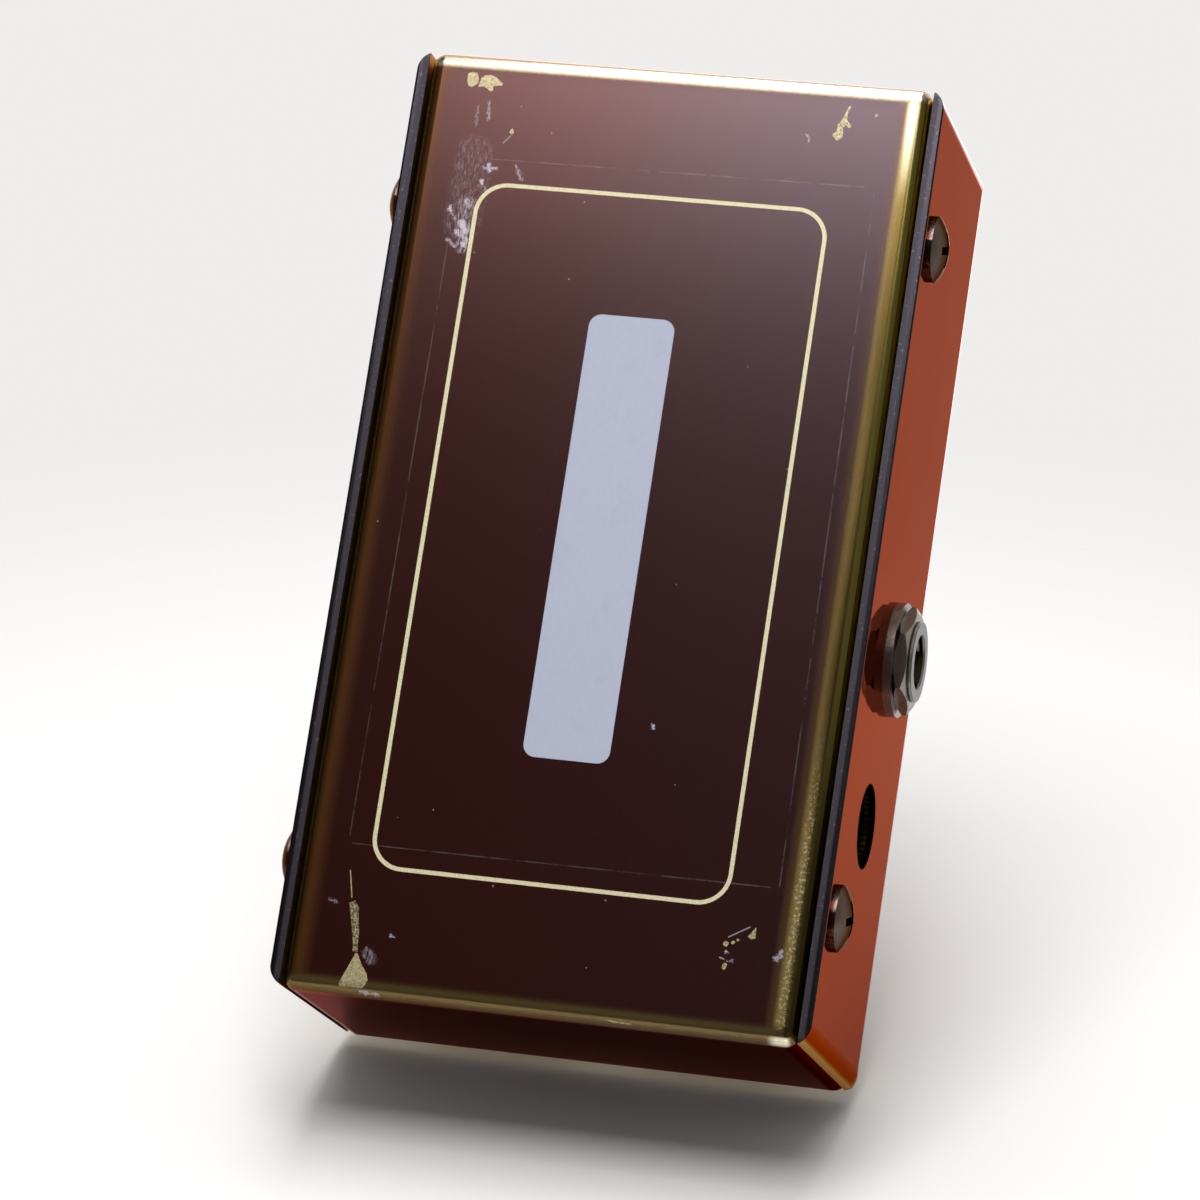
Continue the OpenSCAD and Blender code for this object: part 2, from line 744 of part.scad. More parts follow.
module xlr_housing() {
    tap_r = xlr_screw_r + thread_gap;
    color("black") difference() {
        union() {
            translate([-half_w, xlr_y, xlr_z]) pointing_x() cylinder(r = xlr_barrel_r, h = xlr_depth);
            block([-wall_in, xlr_y - xlr_flange_w / 2, xlr_z - xlr_flange_h / 2],
                  [-wall_in + xlr_flange_t, xlr_y + xlr_flange_w / 2, xlr_z + xlr_flange_h / 2]);
        }
        translate([-half_w - overcut, xlr_y, xlr_z])
            pointing_x() cylinder(r = xlr_cavity_r, h = xlr_cavity_d + overcut);
        for (side = [-1, 1]) translate([-wall_in - overcut, xlr_y + side * xlr_screw_half, xlr_z])
            pointing_x() cylinder(r = tap_r, h = xlr_flange_t + 2 * overcut);
        for (turn = xlr_pin_angles) translate([xlr_floor - overcut, xlr_y, xlr_z])
            rotate([turn, 0, 0]) translate([0, xlr_pin_circle, 0])
                pointing_x() cylinder(r = xlr_pin_r + thread_gap, h = xlr_depth);
    }
}

module xlr_pins() {
    color("silver") for (turn = xlr_pin_angles) translate([xlr_floor - xlr_pin_l, xlr_y, xlr_z])
        rotate([turn, 0, 0]) translate([0, xlr_pin_circle, 0]) pointing_x() {
            cylinder(r = xlr_pin_r, h = xlr_pin_l + xlr_depth - xlr_cavity_d + xlr_tail_l);
            sphere(r = xlr_pin_r);
        }
}

module xlr_screws() {
    slot_d = 0.6;
    color("dimgray") for (side = [-1, 1])
        translate([-half_w, xlr_y + side * xlr_screw_half, xlr_z]) pointing_x() difference() {
            flat_screw_form(0, 0);
            for (turn = [45, 135]) rotate(turn)
                translate([-xlr_screw_r, -cross_w / 4, -overcut])
                    cube([2 * xlr_screw_r, cross_w / 2, slot_d + overcut]);
        }
}

// Ground switch

module ground_switch_body() {
    pocket_d = lift_d * 0.6;
    color("black") difference() {
        block([lift_face, lift_y - lift_l / 2, lift_z - lift_h / 2],
              [lift_face + lift_d, lift_y + lift_l / 2, lift_z + lift_h / 2]);
        block([lift_face - overcut, lift_y - lift_slot_l / 2, lift_z - lift_knob_h / 2 - slide_gap],
              [lift_face + pocket_d, lift_y + lift_slot_l / 2, lift_z + lift_knob_h / 2 + slide_gap]);
    }
}

// Slider at its first position, with a grip groove across its face
module ground_switch_slider() {
    face = -half_w + lift_recess;
    foot = lift_face + lift_d * 0.6 - slide_gap;
    groove = lift_knob_w / 9;
    color("dimgray") difference() {
        block([face, lift_rest_y - lift_knob_w / 2, lift_z - lift_knob_h / 2],
              [foot, lift_rest_y + lift_knob_w / 2, lift_z + lift_knob_h / 2]);
        for (i = [-1, 0, 1])
            block([face - overcut, lift_rest_y + (3 * i - 0.5) * groove, lift_z - lift_knob_h],
                  [face + groove, lift_rest_y + (3 * i + 0.5) * groove, lift_z + lift_knob_h]);
    }
}

// Circuit board and what it carries

module circuit_board() {
    color("darkgreen")
        block([-board_w / 2, board_y0, board_under], [board_w / 2, board_y1, board_top]);
}

module transformer_core() {
    color("slategray") translate([core_x, core_y, core_z]) difference() {
        block([-core_l / 2, -core_w / 2, -core_t / 2], [core_l / 2, core_w / 2, core_t / 2]);
        for (side = [0, 1]) mirror([side, 0, 0])
            block([core_leg / 2, -core_window_l / 2, -core_t],
                  [core_leg / 2 + core_window, core_window_l / 2, core_t]);
    }
}

module transformer_winding() {
    reach = core_leg / 2 + core_window - slide_gap;
    half = core_window_l / 2 - slide_gap;
    leg = core_leg / 2 + slide_gap;
    high = core_t / 2 + winding_proud;
    color("goldenrod") translate([core_x, core_y, core_z]) difference() {
        block([-reach, -half, -high], [reach, half, high]);
        block([-leg, -core_w, -core_t / 2 - slide_gap], [leg, core_w, core_t / 2 + slide_gap]);
    }
}

module capacitors() {
    pitch = 2 * cap_r + cap_gap;
    x = board_w / 2 - cap_gap - cap_r;
    y = board_y1 - cap_gap - cap_r;
    color("midnightblue") for (i = [0 : 2])
        translate([x - i * pitch, y, board_under - cap_h]) cylinder(r = cap_r, h = cap_h);
}

module amplifier_chips() {
    stand = 0.6;
    leg_w = 0.6;
    pitch = 2.54;
    color("black") for (y = [board_y0 + chip_l, board_y1 - chip_l]) translate([0, y, board_top]) {
        block([-chip_w / 2, -chip_l / 2, stand], [chip_w / 2, chip_l / 2, stand + chip_t]);
        for (side = [-1, 1]) for (i = [-1.5 : 1.5])
            block([side * chip_w / 2 - leg_w / 2, i * pitch - leg_w / 2, 0],
                  [side * chip_w / 2 + leg_w / 2, i * pitch + leg_w / 2, stand + chip_t / 2]);
    }
}

module resistors() {
    pitch = 5;
    y = board_y0 + 1 + resistor_l / 2;
    color("tan") for (side = [-1, 1]) for (i = [0 : 2])
        translate([side * (chip_w + 3 + i * pitch), y, board_top + resistor_r]) {
            rotate([90, 0, 0]) cylinder(r = resistor_r, h = resistor_l, center = true);
            for (end = [-1, 1]) translate([0, end * (resistor_l / 2 - resistor_r), -resistor_r])
                cylinder(r = resistor_r / 3, h = resistor_r, $fn = 24);
        }
}

// One lead from a socket's start point, inwards to x, to its run below the board, and up into the board
module board_lead(start, x, place) {
    run_z = board_under - lead_drop - place * lead_pitch;
    y = board_y0 + (place + 1) * lead_pitch;
    lead([start, [x, start.y, start.z], [x, start.y, run_z], [x, y, run_z], [x, y, board_under]]);
}

module input_leads() {
    tag_half = 2;
    color("firebrick") for (place = [0, 1])
        board_lead([jack_back, jack_y, jack_z + (1 - 2 * place) * tag_half], input_lead_x, place);
}

module output_leads() {
    color("ivory") for (place = [0 : 2]) {
        turn = xlr_pin_angles[place];
        pin = xlr_pin_circle * [cos(turn), sin(turn)];
        board_lead([xlr_back + xlr_tail_l, xlr_y + pin.x, xlr_z + pin.y], output_lead_x, place);
    }
}

// Controls

// Potentiometer: can, legs down to the board, and threaded bushing through the panel
module pot(x) {
    can_z = panel_under - pot_h;
    leg_w = 1;
    translate([x, pot_y, 0]) difference() {
        union() {
            translate([0, 0, can_z]) cylinder(r = pot_r, h = pot_h);
            translate([0, 0, panel_under - overcut])
                cylinder(r = pot_thread_r, h = pot_thread_top - panel_under + overcut);
            for (i = [-1, 0, 1])
                block([i * pot_r / 2 - leg_w / 2, -pot_r / 2 - leg_w / 2, board_top],
                      [i * pot_r / 2 + leg_w / 2, -pot_r / 2 + leg_w / 2, can_z + overcut]);
        }
        translate([0, 0, can_z + overcut]) cylinder(r = shaft_r + run_gap, h = body_h);
    }
}

module pot_shaft(x) {
    low = panel_under - pot_h + overcut + slide_gap;
    translate([x, pot_y, low]) cylinder(r = shaft_r, h = shaft_top - low);
}

// Fluted knob with a well that clears the nut, a socket for the shaft and a groove for its inlay
module knob(x) {
    skirt_h = 2.2;
    shoulder_z = skirt_h + knob_r - grip_r;
    translate([x, pot_y, knob_z]) difference() {
        rotate_extrude() polygon([
            [0, 0], [knob_r, 0], [knob_r, skirt_h], [grip_r, shoulder_z],
            [grip_r, knob_h - flute_r], [grip_r - flute_r, knob_h], [0, knob_h]]);
        translate([0, 0, -overcut])
            cylinder(r = knob_well_r, h = knob_socket_floor - knob_z + overcut);
        cylinder(r = shaft_r + thread_gap, h = shaft_top - knob_z + slide_gap);
        for (i = [0 : knob_flutes - 1]) rotate((i + 0.5) * 360 / knob_flutes)
            translate([grip_r + flute_r / 3, 0, shoulder_z + flute_r / 2])
                cylinder(r = flute_r, h = knob_h, $fn = 24);
        block([-inlay_w / 2, grip_r / 4, knob_h - inlay_w], [inlay_w / 2, knob_r, knob_h + overcut]);
    }
}

module knob_inlay(x) {
    translate([x, pot_y, knob_z])
        block([-inlay_w / 2, grip_r / 4, knob_h - inlay_w],
              [inlay_w / 2, grip_r - flute_r, knob_h]);
}

module level_pot() { color("silver") pot(pot_xs[1]); }
module tone_pot() { color("silver") pot(pot_xs[0]); }
module level_shaft() { color("gainsboro") pot_shaft(pot_xs[1]); }
module tone_shaft() { color("gainsboro") pot_shaft(pot_xs[0]); }
module level_knob() { color("black") knob(pot_xs[1]); }
module tone_knob() { color("black") knob(pot_xs[0]); }
module level_inlay() { color("khaki") knob_inlay(pot_xs[1]); }
module tone_inlay() { color("khaki") knob_inlay(pot_xs[0]); }

module pot_washers() {
    color("silver") for (x = pot_xs) translate([x, pot_y, body_h])
        ring(pot_nut_af / 2, pot_thread_r + hole_gap, panel_washer_t);
}

module pot_nuts() {
    color("silver") for (x = pot_xs) translate([x, pot_y, body_h + panel_washer_t])
        hex_nut(pot_nut_af, pot_nut_t, pot_thread_r + thread_gap);
}

// Footswitch

module footswitch_body() {
    color("royalblue") translate([0, foot_y, 0]) difference() {
        union() {
            block([-foot_w / 2, -foot_l / 2, foot_bottom], [foot_w / 2, foot_l / 2, panel_under]);
            translate([0, 0, panel_under - overcut])
                cylinder(r = foot_thread_r, h = foot_thread_top - panel_under + overcut);
        }
        translate([0, 0, foot_well_z]) cylinder(r = foot_plunger_r + run_gap, h = body_h);
        translate([0, 0, foot_well_z])
            cylinder(r = foot_thread_r + slide_gap, h = foot_collar_top + slide_gap - foot_well_z);
    }
}

// Domed plunger with the collar that keeps it in its bushing
module footswitch_plunger() {
    top = foot_thread_top + foot_plunger_h;
    low = foot_collar_top - foot_collar_t;
    dome_r = foot_plunger_r * 2;
    color("gainsboro") translate([0, foot_y, 0]) {
        intersection() {
            translate([0, 0, low]) cylinder(r = foot_plunger_r, h = top - low);
            translate([0, 0, top - dome_r]) sphere(r = dome_r);
        }
        translate([0, 0, low]) cylinder(r = foot_thread_r - slide_gap, h = foot_collar_t);
    }
}

module footswitch_washer() {
    color("silver") translate([0, foot_y, body_h])
        ring(foot_washer_r, foot_thread_r + hole_gap, panel_washer_t);
}

module footswitch_nut() {
    color("silver") translate([0, foot_y, body_h + panel_washer_t])
        hex_nut(foot_nut_af, foot_nut_t, foot_thread_r + thread_gap);
}

module footswitch_terminals() {
    tag = [1.8, 0.8];
    color("gold") for (i = [-1, 0, 1]) for (j = [-1, 0, 1])
        translate([i * foot_w / 3.6, foot_y + j * foot_l / 3.6, foot_board_top])
            block([-tag.x / 2, -tag.y / 2, 0], [tag.x / 2, tag.y / 2, foot_terminal_l]);
}

module footswitch_board() {
    color("darkgreen")
        block([-foot_w / 2, foot_y - foot_l / 2, foot_board_under],
              [foot_w / 2, foot_y + foot_l / 2, foot_board_top]);
}

// Headers below both boards that the ribbon plugs into
module ribbon_headers() {
    color("ivory") {
        block([ribbon_x - ribbon_w / 2, main_header_y - header_l / 2, main_header_z],
              [ribbon_x + ribbon_w / 2, main_header_y + header_l / 2, board_under]);
        block([ribbon_x - ribbon_w / 2, foot_header_y - header_l / 2, foot_header_z],
              [ribbon_x + ribbon_w / 2, foot_header_y + header_l / 2, foot_board_under]);
    }
}

// Flat cable from header to header, sloping between them
module ribbon_cable() {
    rise = main_header_z - ribbon_t;
    low = foot_header_z - ribbon_t;
    y0 = main_header_y - header_l / 2;
    y1 = foot_header_y + header_l / 2;
    color("lightgray") translate([ribbon_x, 0, 0]) along_x(ribbon_w * 0.9) polygon([
        [y0 + header_l, rise], [y0, rise], [y1, low], [y1 - header_l, low],
        [y1 - header_l, low + ribbon_t], [y1, low + ribbon_t], [y0, rise + ribbon_t],
        [y0 + header_l, rise + ribbon_t]]);
}

// Indicator

module lamp_bezel() {
    bore = led_r + thread_gap;
    color("silver") translate([0, half_l - led_from_rear, 0]) difference() {
        union() {
            translate([0, 0, panel_under - bezel_depth])
                cylinder(r = led_r + bezel_wall, h = bezel_depth + cover_t + bezel_rim_h);
            translate([0, 0, body_h]) cylinder(r = led_r + bezel_wall + bezel_rim, h = bezel_rim_h);
        }
        translate([0, 0, panel_under - bezel_depth - overcut]) cylinder(r = bore, h = body_h);
    }
}

module lamp_lens() {
    low = panel_under - bezel_depth;
    color("red") translate([0, half_l - led_from_rear, 0]) {
        translate([0, 0, low]) cylinder(r = led_r, h = body_h + bezel_rim_h - low);
        translate([0, 0, body_h + bezel_rim_h]) intersection() {
            sphere(r = led_r);
            translate([-led_r, -led_r, 0]) cube(2 * led_r);
        }
    }
}

base_tray();
top_cover();
cover_screws();
input_jack_bushing();
input_jack_housing();
input_jack_contacts();
input_jack_washer();
input_jack_nut();
power_jack_housing();
power_jack_pin();
power_jack_contact();
xlr_housing();
xlr_pins();
xlr_screws();
ground_switch_body();
ground_switch_slider();
circuit_board();
transformer_core();
transformer_winding();
capacitors();
amplifier_chips();
resistors();
input_leads();
output_leads();
level_pot();
tone_pot();
level_shaft();
tone_shaft();
level_knob();
tone_knob();
level_inlay();
tone_inlay();
pot_washers();
pot_nuts();
footswitch_body();
footswitch_plunger();
footswitch_washer();
footswitch_nut();
footswitch_terminals();
footswitch_board();
ribbon_cable();
ribbon_headers();
lamp_bezel();
lamp_lens();
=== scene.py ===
"""Looks of a direct injection box: finishes, printed lines, label, wear, stage, light and camera.

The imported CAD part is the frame. Its nodes keep their shapes and get procedural finishes here.
Sizes on the case are in millimetres, and become metres where Blender takes them.
Directions are the photograph's, which shows the bottom plate: x runs to the right, y down to the
rear end, and z away from the viewer, to the top panel.
"""

import json
import math

import bmesh
import bpy
from mathutils import Matrix, Quaternion, Vector


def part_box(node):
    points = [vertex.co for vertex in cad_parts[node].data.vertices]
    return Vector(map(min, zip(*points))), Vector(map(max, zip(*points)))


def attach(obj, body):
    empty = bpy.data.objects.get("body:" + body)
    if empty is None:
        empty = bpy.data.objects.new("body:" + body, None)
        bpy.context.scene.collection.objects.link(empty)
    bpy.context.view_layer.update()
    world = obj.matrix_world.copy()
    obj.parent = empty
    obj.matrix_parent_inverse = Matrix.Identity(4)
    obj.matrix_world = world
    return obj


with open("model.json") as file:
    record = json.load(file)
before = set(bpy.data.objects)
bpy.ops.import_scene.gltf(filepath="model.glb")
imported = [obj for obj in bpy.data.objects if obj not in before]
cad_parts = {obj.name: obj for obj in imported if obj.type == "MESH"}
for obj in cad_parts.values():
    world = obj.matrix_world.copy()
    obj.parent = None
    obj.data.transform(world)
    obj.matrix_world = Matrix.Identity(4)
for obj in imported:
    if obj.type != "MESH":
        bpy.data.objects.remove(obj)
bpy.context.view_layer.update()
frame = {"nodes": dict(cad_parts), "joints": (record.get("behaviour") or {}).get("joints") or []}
nodes = frame["nodes"]

MM = 0.001

# Lines of the case
_, tray_high = (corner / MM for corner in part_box("base_tray"))
_, cover_high = (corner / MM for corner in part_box("top_cover"))
HALF_W, HALF_L, TOP_Z = cover_high
TRAY_HALF_L = tray_high.y
COVER_T = 1.4
PLATE_BEND = 1.6
CUT_EDGE_Z = 0.3
POWER_HOLE = Vector((0, 28.2, 14.8))
POWER_HOLE_R = 5.0


# ---- Node graphs ----

class Nodes:
    """Adds nodes to one cleared tree; a value given to a node is a socket, a number or a colour."""

    def __init__(self, owner):
        owner.use_nodes = True
        self.tree = owner.node_tree
        self.tree.nodes.clear()

    def add(self, kind):
        return self.tree.nodes.new("ShaderNode" + kind)

    def put(self, socket, value):
        """Links a socket to another socket, or sets it to a number, vector or colour."""
        if isinstance(value, bpy.types.NodeSocket):
            self.tree.links.new(value, socket)
        elif socket.type == "RGBA":
            socket.default_value = (*value, 1.0)
        else:
            socket.default_value = value

    def math(self, operation, a, b=0.0, clamp=False):
        node = self.add("Math")
        node.operation = operation
        node.use_clamp = clamp
        self.put(node.inputs[0], a)
        self.put(node.inputs[1], b)
        return node.outputs[0]

    def scaled(self, value, factor, offset=None):
        """Value times a factor, plus an offset."""
        result = self.math("MULTIPLY", value, factor)
        return result if offset is None else self.math("ADD", result, offset)

    def product(self, *values):
        result = values[0]
        for value in values[1:]:
            result = self.math("MULTIPLY", result, value)
        return result

    def largest(self, *values):
        result = values[0]
        for value in values[1:]:
            result = self.math("MAXIMUM", result, value)
        return result

    def vector(self, operation, a, b=None, scale=None):
        node = self.add("VectorMath")
        node.operation = operation
        self.put(node.inputs[0], a)
        if b is not None:
            self.put(node.inputs[1], b)
        if scale is not None:
            self.put(node.inputs["Scale"], scale)
        return node.outputs["Value" if operation in ("LENGTH", "DOT_PRODUCT") else "Vector"]

    def axes(self, place):
        """The x, y and z of a place."""
        node = self.add("SeparateXYZ")
        self.put(node.inputs[0], place)
        return node.outputs

    def step(self, value, low, high, start=0.0, end=1.0, curve="SMOOTHSTEP"):
        """Goes from start to end as value goes from low to high."""
        node = self.add("MapRange")
        node.interpolation_type = curve
        self.put(node.inputs["Value"], value)
        names = ("From Min", "From Max", "To Min", "To Max")
        for name, number in zip(names, (low, high, start, end)):
            self.put(node.inputs[name], number)
        return node.outputs["Result"]

    def fall(self, value, low, high):
        """Goes from 1 to 0 as value goes from low to high."""
        return self.step(value, low, high, 1.0, 0.0)

    def band(self, value, rise, fall):
        """1 where value lies between two slopes, each given by its two ends."""
        return self.product(self.step(value, *rise), self.fall(value, *fall))

    def between(self, share, a, b):
        """Number that goes from a to b as share goes from 0 to 1."""
        part_a = self.product(self.math("SUBTRACT", 1.0, share), a)
        return self.math("ADD", self.product(share, b), part_a)

    def mix(self, factor, a, b):
        """Colour that goes from a to b as factor goes from 0 to 1."""
        node = self.add("Mix")
        node.data_type = "RGBA"
        self.put(node.inputs[0], factor)
        self.put(node.inputs[6], a)
        self.put(node.inputs[7], b)
        return node.outputs[2]


class Graph(Nodes):
    """One Principled material; places in it are in millimetres in the part's frame."""

    def __init__(self, name):
        self.material = bpy.data.materials.new(name)
        super().__init__(self.material)
        output = self.add("OutputMaterial")
        self.shader = self.add("BsdfPrincipled")
        self.put(output.inputs["Surface"], self.shader.outputs[0])
        coordinates = self.add("TexCoord")
        self.place = self.vector("SCALE", coordinates.outputs["Object"], scale=1 / MM)
        self.x, self.y, self.z = self.axes(self.place)

    def set(self, **values):
        """Sets the shader's sockets; an underscore in a name stands for a space."""
        for name, value in values.items():
            self.put(self.shader.inputs[name.replace("_", " ")], value)

    def ramp(self, value, stops):
        """Colour and metal share along a value; each stop is (value, colour, metal share)."""
        low, span = stops[0][0], stops[-1][0] - stops[0][0]
        node = self.add("ValToRGB")
        share = self.math("DIVIDE", self.math("SUBTRACT", value, low), span, clamp=True)
        self.put(node.inputs[0], share)
        elements = node.color_ramp.elements
        for _ in stops[2:]:
            elements.new(0.5)
        for element, (at, colour, metal) in zip(elements, stops):
            element.position = (at - low) / span
            element.color = (*colour, metal)
        return node.outputs["Color"], node.outputs["Alpha"]

    def noise(self, size, stretch=(1, 1, 1), detail=2.0, roughness=0.5, shift=(0, 0, 0),
              output="Fac"):
        """Noise from 0 to 1 with features of about size, longer along larger stretches."""
        node = self.add("TexNoise")
        scales = Vector([1 / (size * s) for s in stretch])
        place = self.vector("ADD", self.place, Vector(shift))
        self.put(node.inputs["Vector"], self.vector("MULTIPLY", place, scales))
        self.put(node.inputs["Scale"], 1.0)
        self.put(node.inputs["Detail"], detail)
        self.put(node.inputs["Roughness"], roughness)
        return node.outputs[output]

    def bump(self, height, depth, strength=1.0):
        """Adds a bump of some depth and returns the finished material."""
        node = self.add("Bump")
        self.put(node.inputs["Strength"], strength)
        self.put(node.inputs["Distance"], depth * MM)
        self.put(node.inputs["Height"], height)
        self.put(self.shader.inputs["Normal"], node.outputs[0])
        return self.material

    def flat_place(self):
        """Place on the plate, with its depth left out."""
        node = self.add("CombineXYZ")
        self.put(node.inputs[0], self.x)
        self.put(node.inputs[1], self.y)
        return node.outputs[0]

    def stroke(self, place, start, end, half):
        """Distance to a stroke of some half-width; negative inside it."""
        run = Vector((*end, 0)) - Vector((*start, 0))
        from_start = self.vector("SUBTRACT", place, Vector((*start, 0)))
        dot = self.vector("DOT_PRODUCT", from_start, run)
        along = self.math("DIVIDE", dot, run.length_squared, clamp=True)
        nearest = self.vector("SCALE", run, scale=along)
        off = self.vector("LENGTH", self.vector("SUBTRACT", from_start, nearest))
        return self.math("SUBTRACT", off, half)


def shade(colour, factor):
    return tuple(c * factor for c in colour)


# ---- Tray: smoked lacquer over brass ----

MAROON = (0.020, 0.0036, 0.0026)
BRASS = (0.58, 0.46, 0.17)
PALE_BRASS = (0.86, 0.80, 0.58)
RUBBED_GOLD = (0.56, 0.44, 0.17)
HAZE = (0.52, 0.52, 0.60)
WALL_BROWN = (0.062, 0.013, 0.010)
# Painted shade and painted dimming for the right bend
PAINTED_SHADE_BEND = (0.035, 0.022, 0.010)
PAINTED_DIM_BEND = (0.15, 0.105, 0.03)
TINT_LEFT, TINT_RIGHT = (1.0, 0.51, 0.48), (1.0, 0.73, 0.82)
TINT_WALL = (0.46, 0.13, 0.11)
LACQUER_ROUGH = 0.165
LACQUER_IOR = 1.8

# How the lacquer thins to gold at the bends, with painted highlights, reflections and shade across
# them: distance from the middle, colour, share of metal
LEFT_WEAR_AND_SHEEN = (
    (27.0, MAROON, 0.0), (28.0, (0.050, 0.017, 0.0055), 0.15), (28.8, (0.105, 0.042, 0.010), 0.5),
    (29.3, (0.075, 0.032, 0.009), 0.6), (29.65, (0.03, 0.015, 0.006), 0.8),
    (29.95, (0.30, 0.23, 0.07), 1.0), (30.25, (0.36, 0.28, 0.09), 1.0),
    (30.45, (0.05, 0.03, 0.012), 1.0))
RIGHT_WEAR_AND_SHEEN = (
    (26.4, MAROON, 0.0), (27.4, (0.075, 0.038, 0.012), 0.25), (28.2, (0.42, 0.29, 0.085), 0.9),
    (28.7, (0.32, 0.22, 0.065), 1.0), (28.95, (0.12, 0.085, 0.025), 1.0),
    (29.3, (0.30, 0.25, 0.06), 1.0), (30.2, (0.28, 0.23, 0.055), 1.0),
    (30.45, (0.05, 0.03, 0.012), 1.0))
FRONT_WEAR_AND_SHEEN = (
    (54.0, MAROON, 0.0), (54.9, (0.12, 0.085, 0.05), 0.15), (55.5, (0.62, 0.54, 0.34), 0.8),
    (56.0, (0.90, 0.84, 0.66), 1.0), (57.0, (0.72, 0.62, 0.36), 1.0))
REAR_WEAR_AND_SHEEN = (
    (54.4, MAROON, 0.0), (55.2, (0.070, 0.044, 0.014), 0.3), (55.8, (0.165, 0.12, 0.040), 0.6),
    (56.4, (0.15, 0.108, 0.035), 0.75), (56.85, (0.080, 0.050, 0.016), 0.9),
    (57.0, (0.24, 0.09, 0.03), 1.0))

# Slopes on either side of the right bend's crest, and of the glint at its rear end
CREST = ((27.5, 28.3), (28.6, 29.3))
GLINT = ((26.8, 28.2), (29.2, 29.8))

# Pale scuffs on the plate: start, end, half-width, strength, and how sparse the hatching is
SCUFFS = (
    # Front left: hairs, a cloud, a star, and a cluster beside the border
    ((-23.7, -50.5), (-23.65, -48.0), 0.10, 0.35, 0.30),
    ((-22.45, -51.0), (-22.25, -48.7), 0.12, 0.55, 0.30),
    ((-23.2, -44.6), (-23.4, -36.0), 1.7, 0.22, 0.45),
    ((-21.3, -43.3), (-21.2, -42.6), 0.16, 0.95, 0.25),
    ((-21.9, -42.9), (-20.4, -42.95), 0.12, 0.85, 0.28),
    ((-21.9, -41.15), (-21.9, -41.05), 0.20, 1.0, 0.20),
    ((-21.9, -41.0), (-21.1, -39.9), 0.10, 0.5, 0.35),
    ((-18.0, -43.3), (-17.0, -41.8), 0.16, 0.5, 0.36),
    ((-25.25, -37.6), (-25.0, -37.3), 0.18, 1.0, 0.20),
    ((-25.0, -37.3), (-24.3, -36.1), 0.16, 0.55, 0.36),
    ((-23.3, -38.6), (-22.9, -37.9), 0.28, 0.75, 0.36),
    ((-23.3, -38.4), (-22.8, -33.2), 0.75, 0.55, 0.42),
    ((-23.5, -36.0), (-22.9, -34.9), 0.30, 1.0, 0.30),
    ((-23.9, -34.8), (-22.5, -33.8), 0.22, 0.9, 0.34),
    ((-22.95, -33.45), (-22.75, -33.2), 0.22, 1.0, 0.20),
    ((-24.9, -33.7), (-23.9, -33.0), 0.15, 0.6, 0.34),
    # Rear left: a thumb-like smudge and small scrapes
    ((-20.7, 51.9), (-20.1, 52.6), 0.45, 0.36, 0.40),
    ((-20.9, 56.45), (-18.8, 56.55), 0.10, 0.70, 0.30),
    ((-26.1, 46.2), (-25.3, 46.4), 0.14, 0.35, 0.36),
    ((-18.2, 49.6), (-17.9, 49.75), 0.10, 0.7, 0.20),
    # Right: scratches and dots
    ((16.25, -50.15), (16.7, -49.35), 0.08, 0.8, 0.20),
    ((24.1, -53.1), (24.12, -53.05), 0.12, 0.8, 0.10),
    ((26.6, 47.4), (27.4, 46.4), 0.10, 0.8, 0.25),
    ((27.0, 47.4), (27.45, 46.9), 0.10, 0.7, 0.25),
    ((20.95, 47.05), (20.95, 47.15), 0.12, 0.9, 0.10),
    ((21.3, 48.3), (21.8, 48.1), 0.09, 0.5, 0.20),
    ((8.65, 22.1), (8.65, 22.15), 0.15, 0.9, 0.10))
RAGGED = 1.3    # how far noise pulls the scuffs' edges about

# Lines left by tape, and hair scratches
TAPE_LINES = (
    ((-24.7, -46.0), (-25.0, 38.5)), ((25.25, -43.5), (26.0, 39.0)),
    ((-24.5, -44.0), (24.0, -44.3)), ((-24.5, 39.4), (25.0, 39.2)))
HAIRS = (((-19.2, -47.1), (-20.0, -46.1)), ((21.0, 45.4), (23.3, 44.0)))
TAPE_HALF, TAPE_STRENGTH = 0.11, 0.10
HAIR_HALF, HAIR_STRENGTH = 0.10, 0.45
SPECK_APART, SPECK_EDGE, SPECK_STRENGTH = 4.6, (0.016, 0.030), 0.35


def plate_haze(g):
    """Pale scuffs, specks, hair scratches and the faint lines left by tape."""
    place = g.flat_place()
    shake = g.vector("SUBTRACT", g.noise(0.55, detail=4, roughness=0.7, output="Color"),
                     Vector((0.5, 0.5, 0.5)))
    ragged = g.vector("ADD", place, g.vector("SCALE", shake, scale=RAGGED))
    hatch = g.noise(0.24, stretch=(1, 4.5, 1), detail=6, roughness=0.75, shift=(3, 11, 0))
    # Each mark is folded in as it is made, so that the shader holds few values at once
    scuffs = 0.0
    for start, end, half, strength, sparse in SCUFFS:
        near = g.fall(g.stroke(ragged, start, end, half), -0.1, half * 0.6 + 0.1)
        scuff = g.scaled(g.product(near, g.step(hatch, sparse, sparse + 0.2)), strength)
        scuffs = g.math("MAXIMUM", scuff, scuffs)

    def hairlines(lines, half):
        off = 1000.0
        for start, end in lines:
            off = g.math("MINIMUM", g.stroke(place, start, end, 0.0), off)
        return g.fall(off, half * 0.4, half)

    broken = g.step(g.noise(4.5, detail=5, roughness=0.75, shift=(31, 7, 0)), 0.36, 0.62)
    tape = g.scaled(g.product(hairlines(TAPE_LINES, TAPE_HALF), broken), TAPE_STRENGTH)
    hairs = g.scaled(hairlines(HAIRS, HAIR_HALF), HAIR_STRENGTH)
    cells = g.add("TexVoronoi")
    g.put(cells.inputs["Vector"], g.vector("SCALE", g.place, scale=1 / SPECK_APART))
    g.put(cells.inputs["Scale"], 1.0)
    specks = g.scaled(g.fall(cells.outputs["Distance"], *SPECK_EDGE), SPECK_STRENGTH)
    return g.largest(scuffs, tape, hairs, specks)


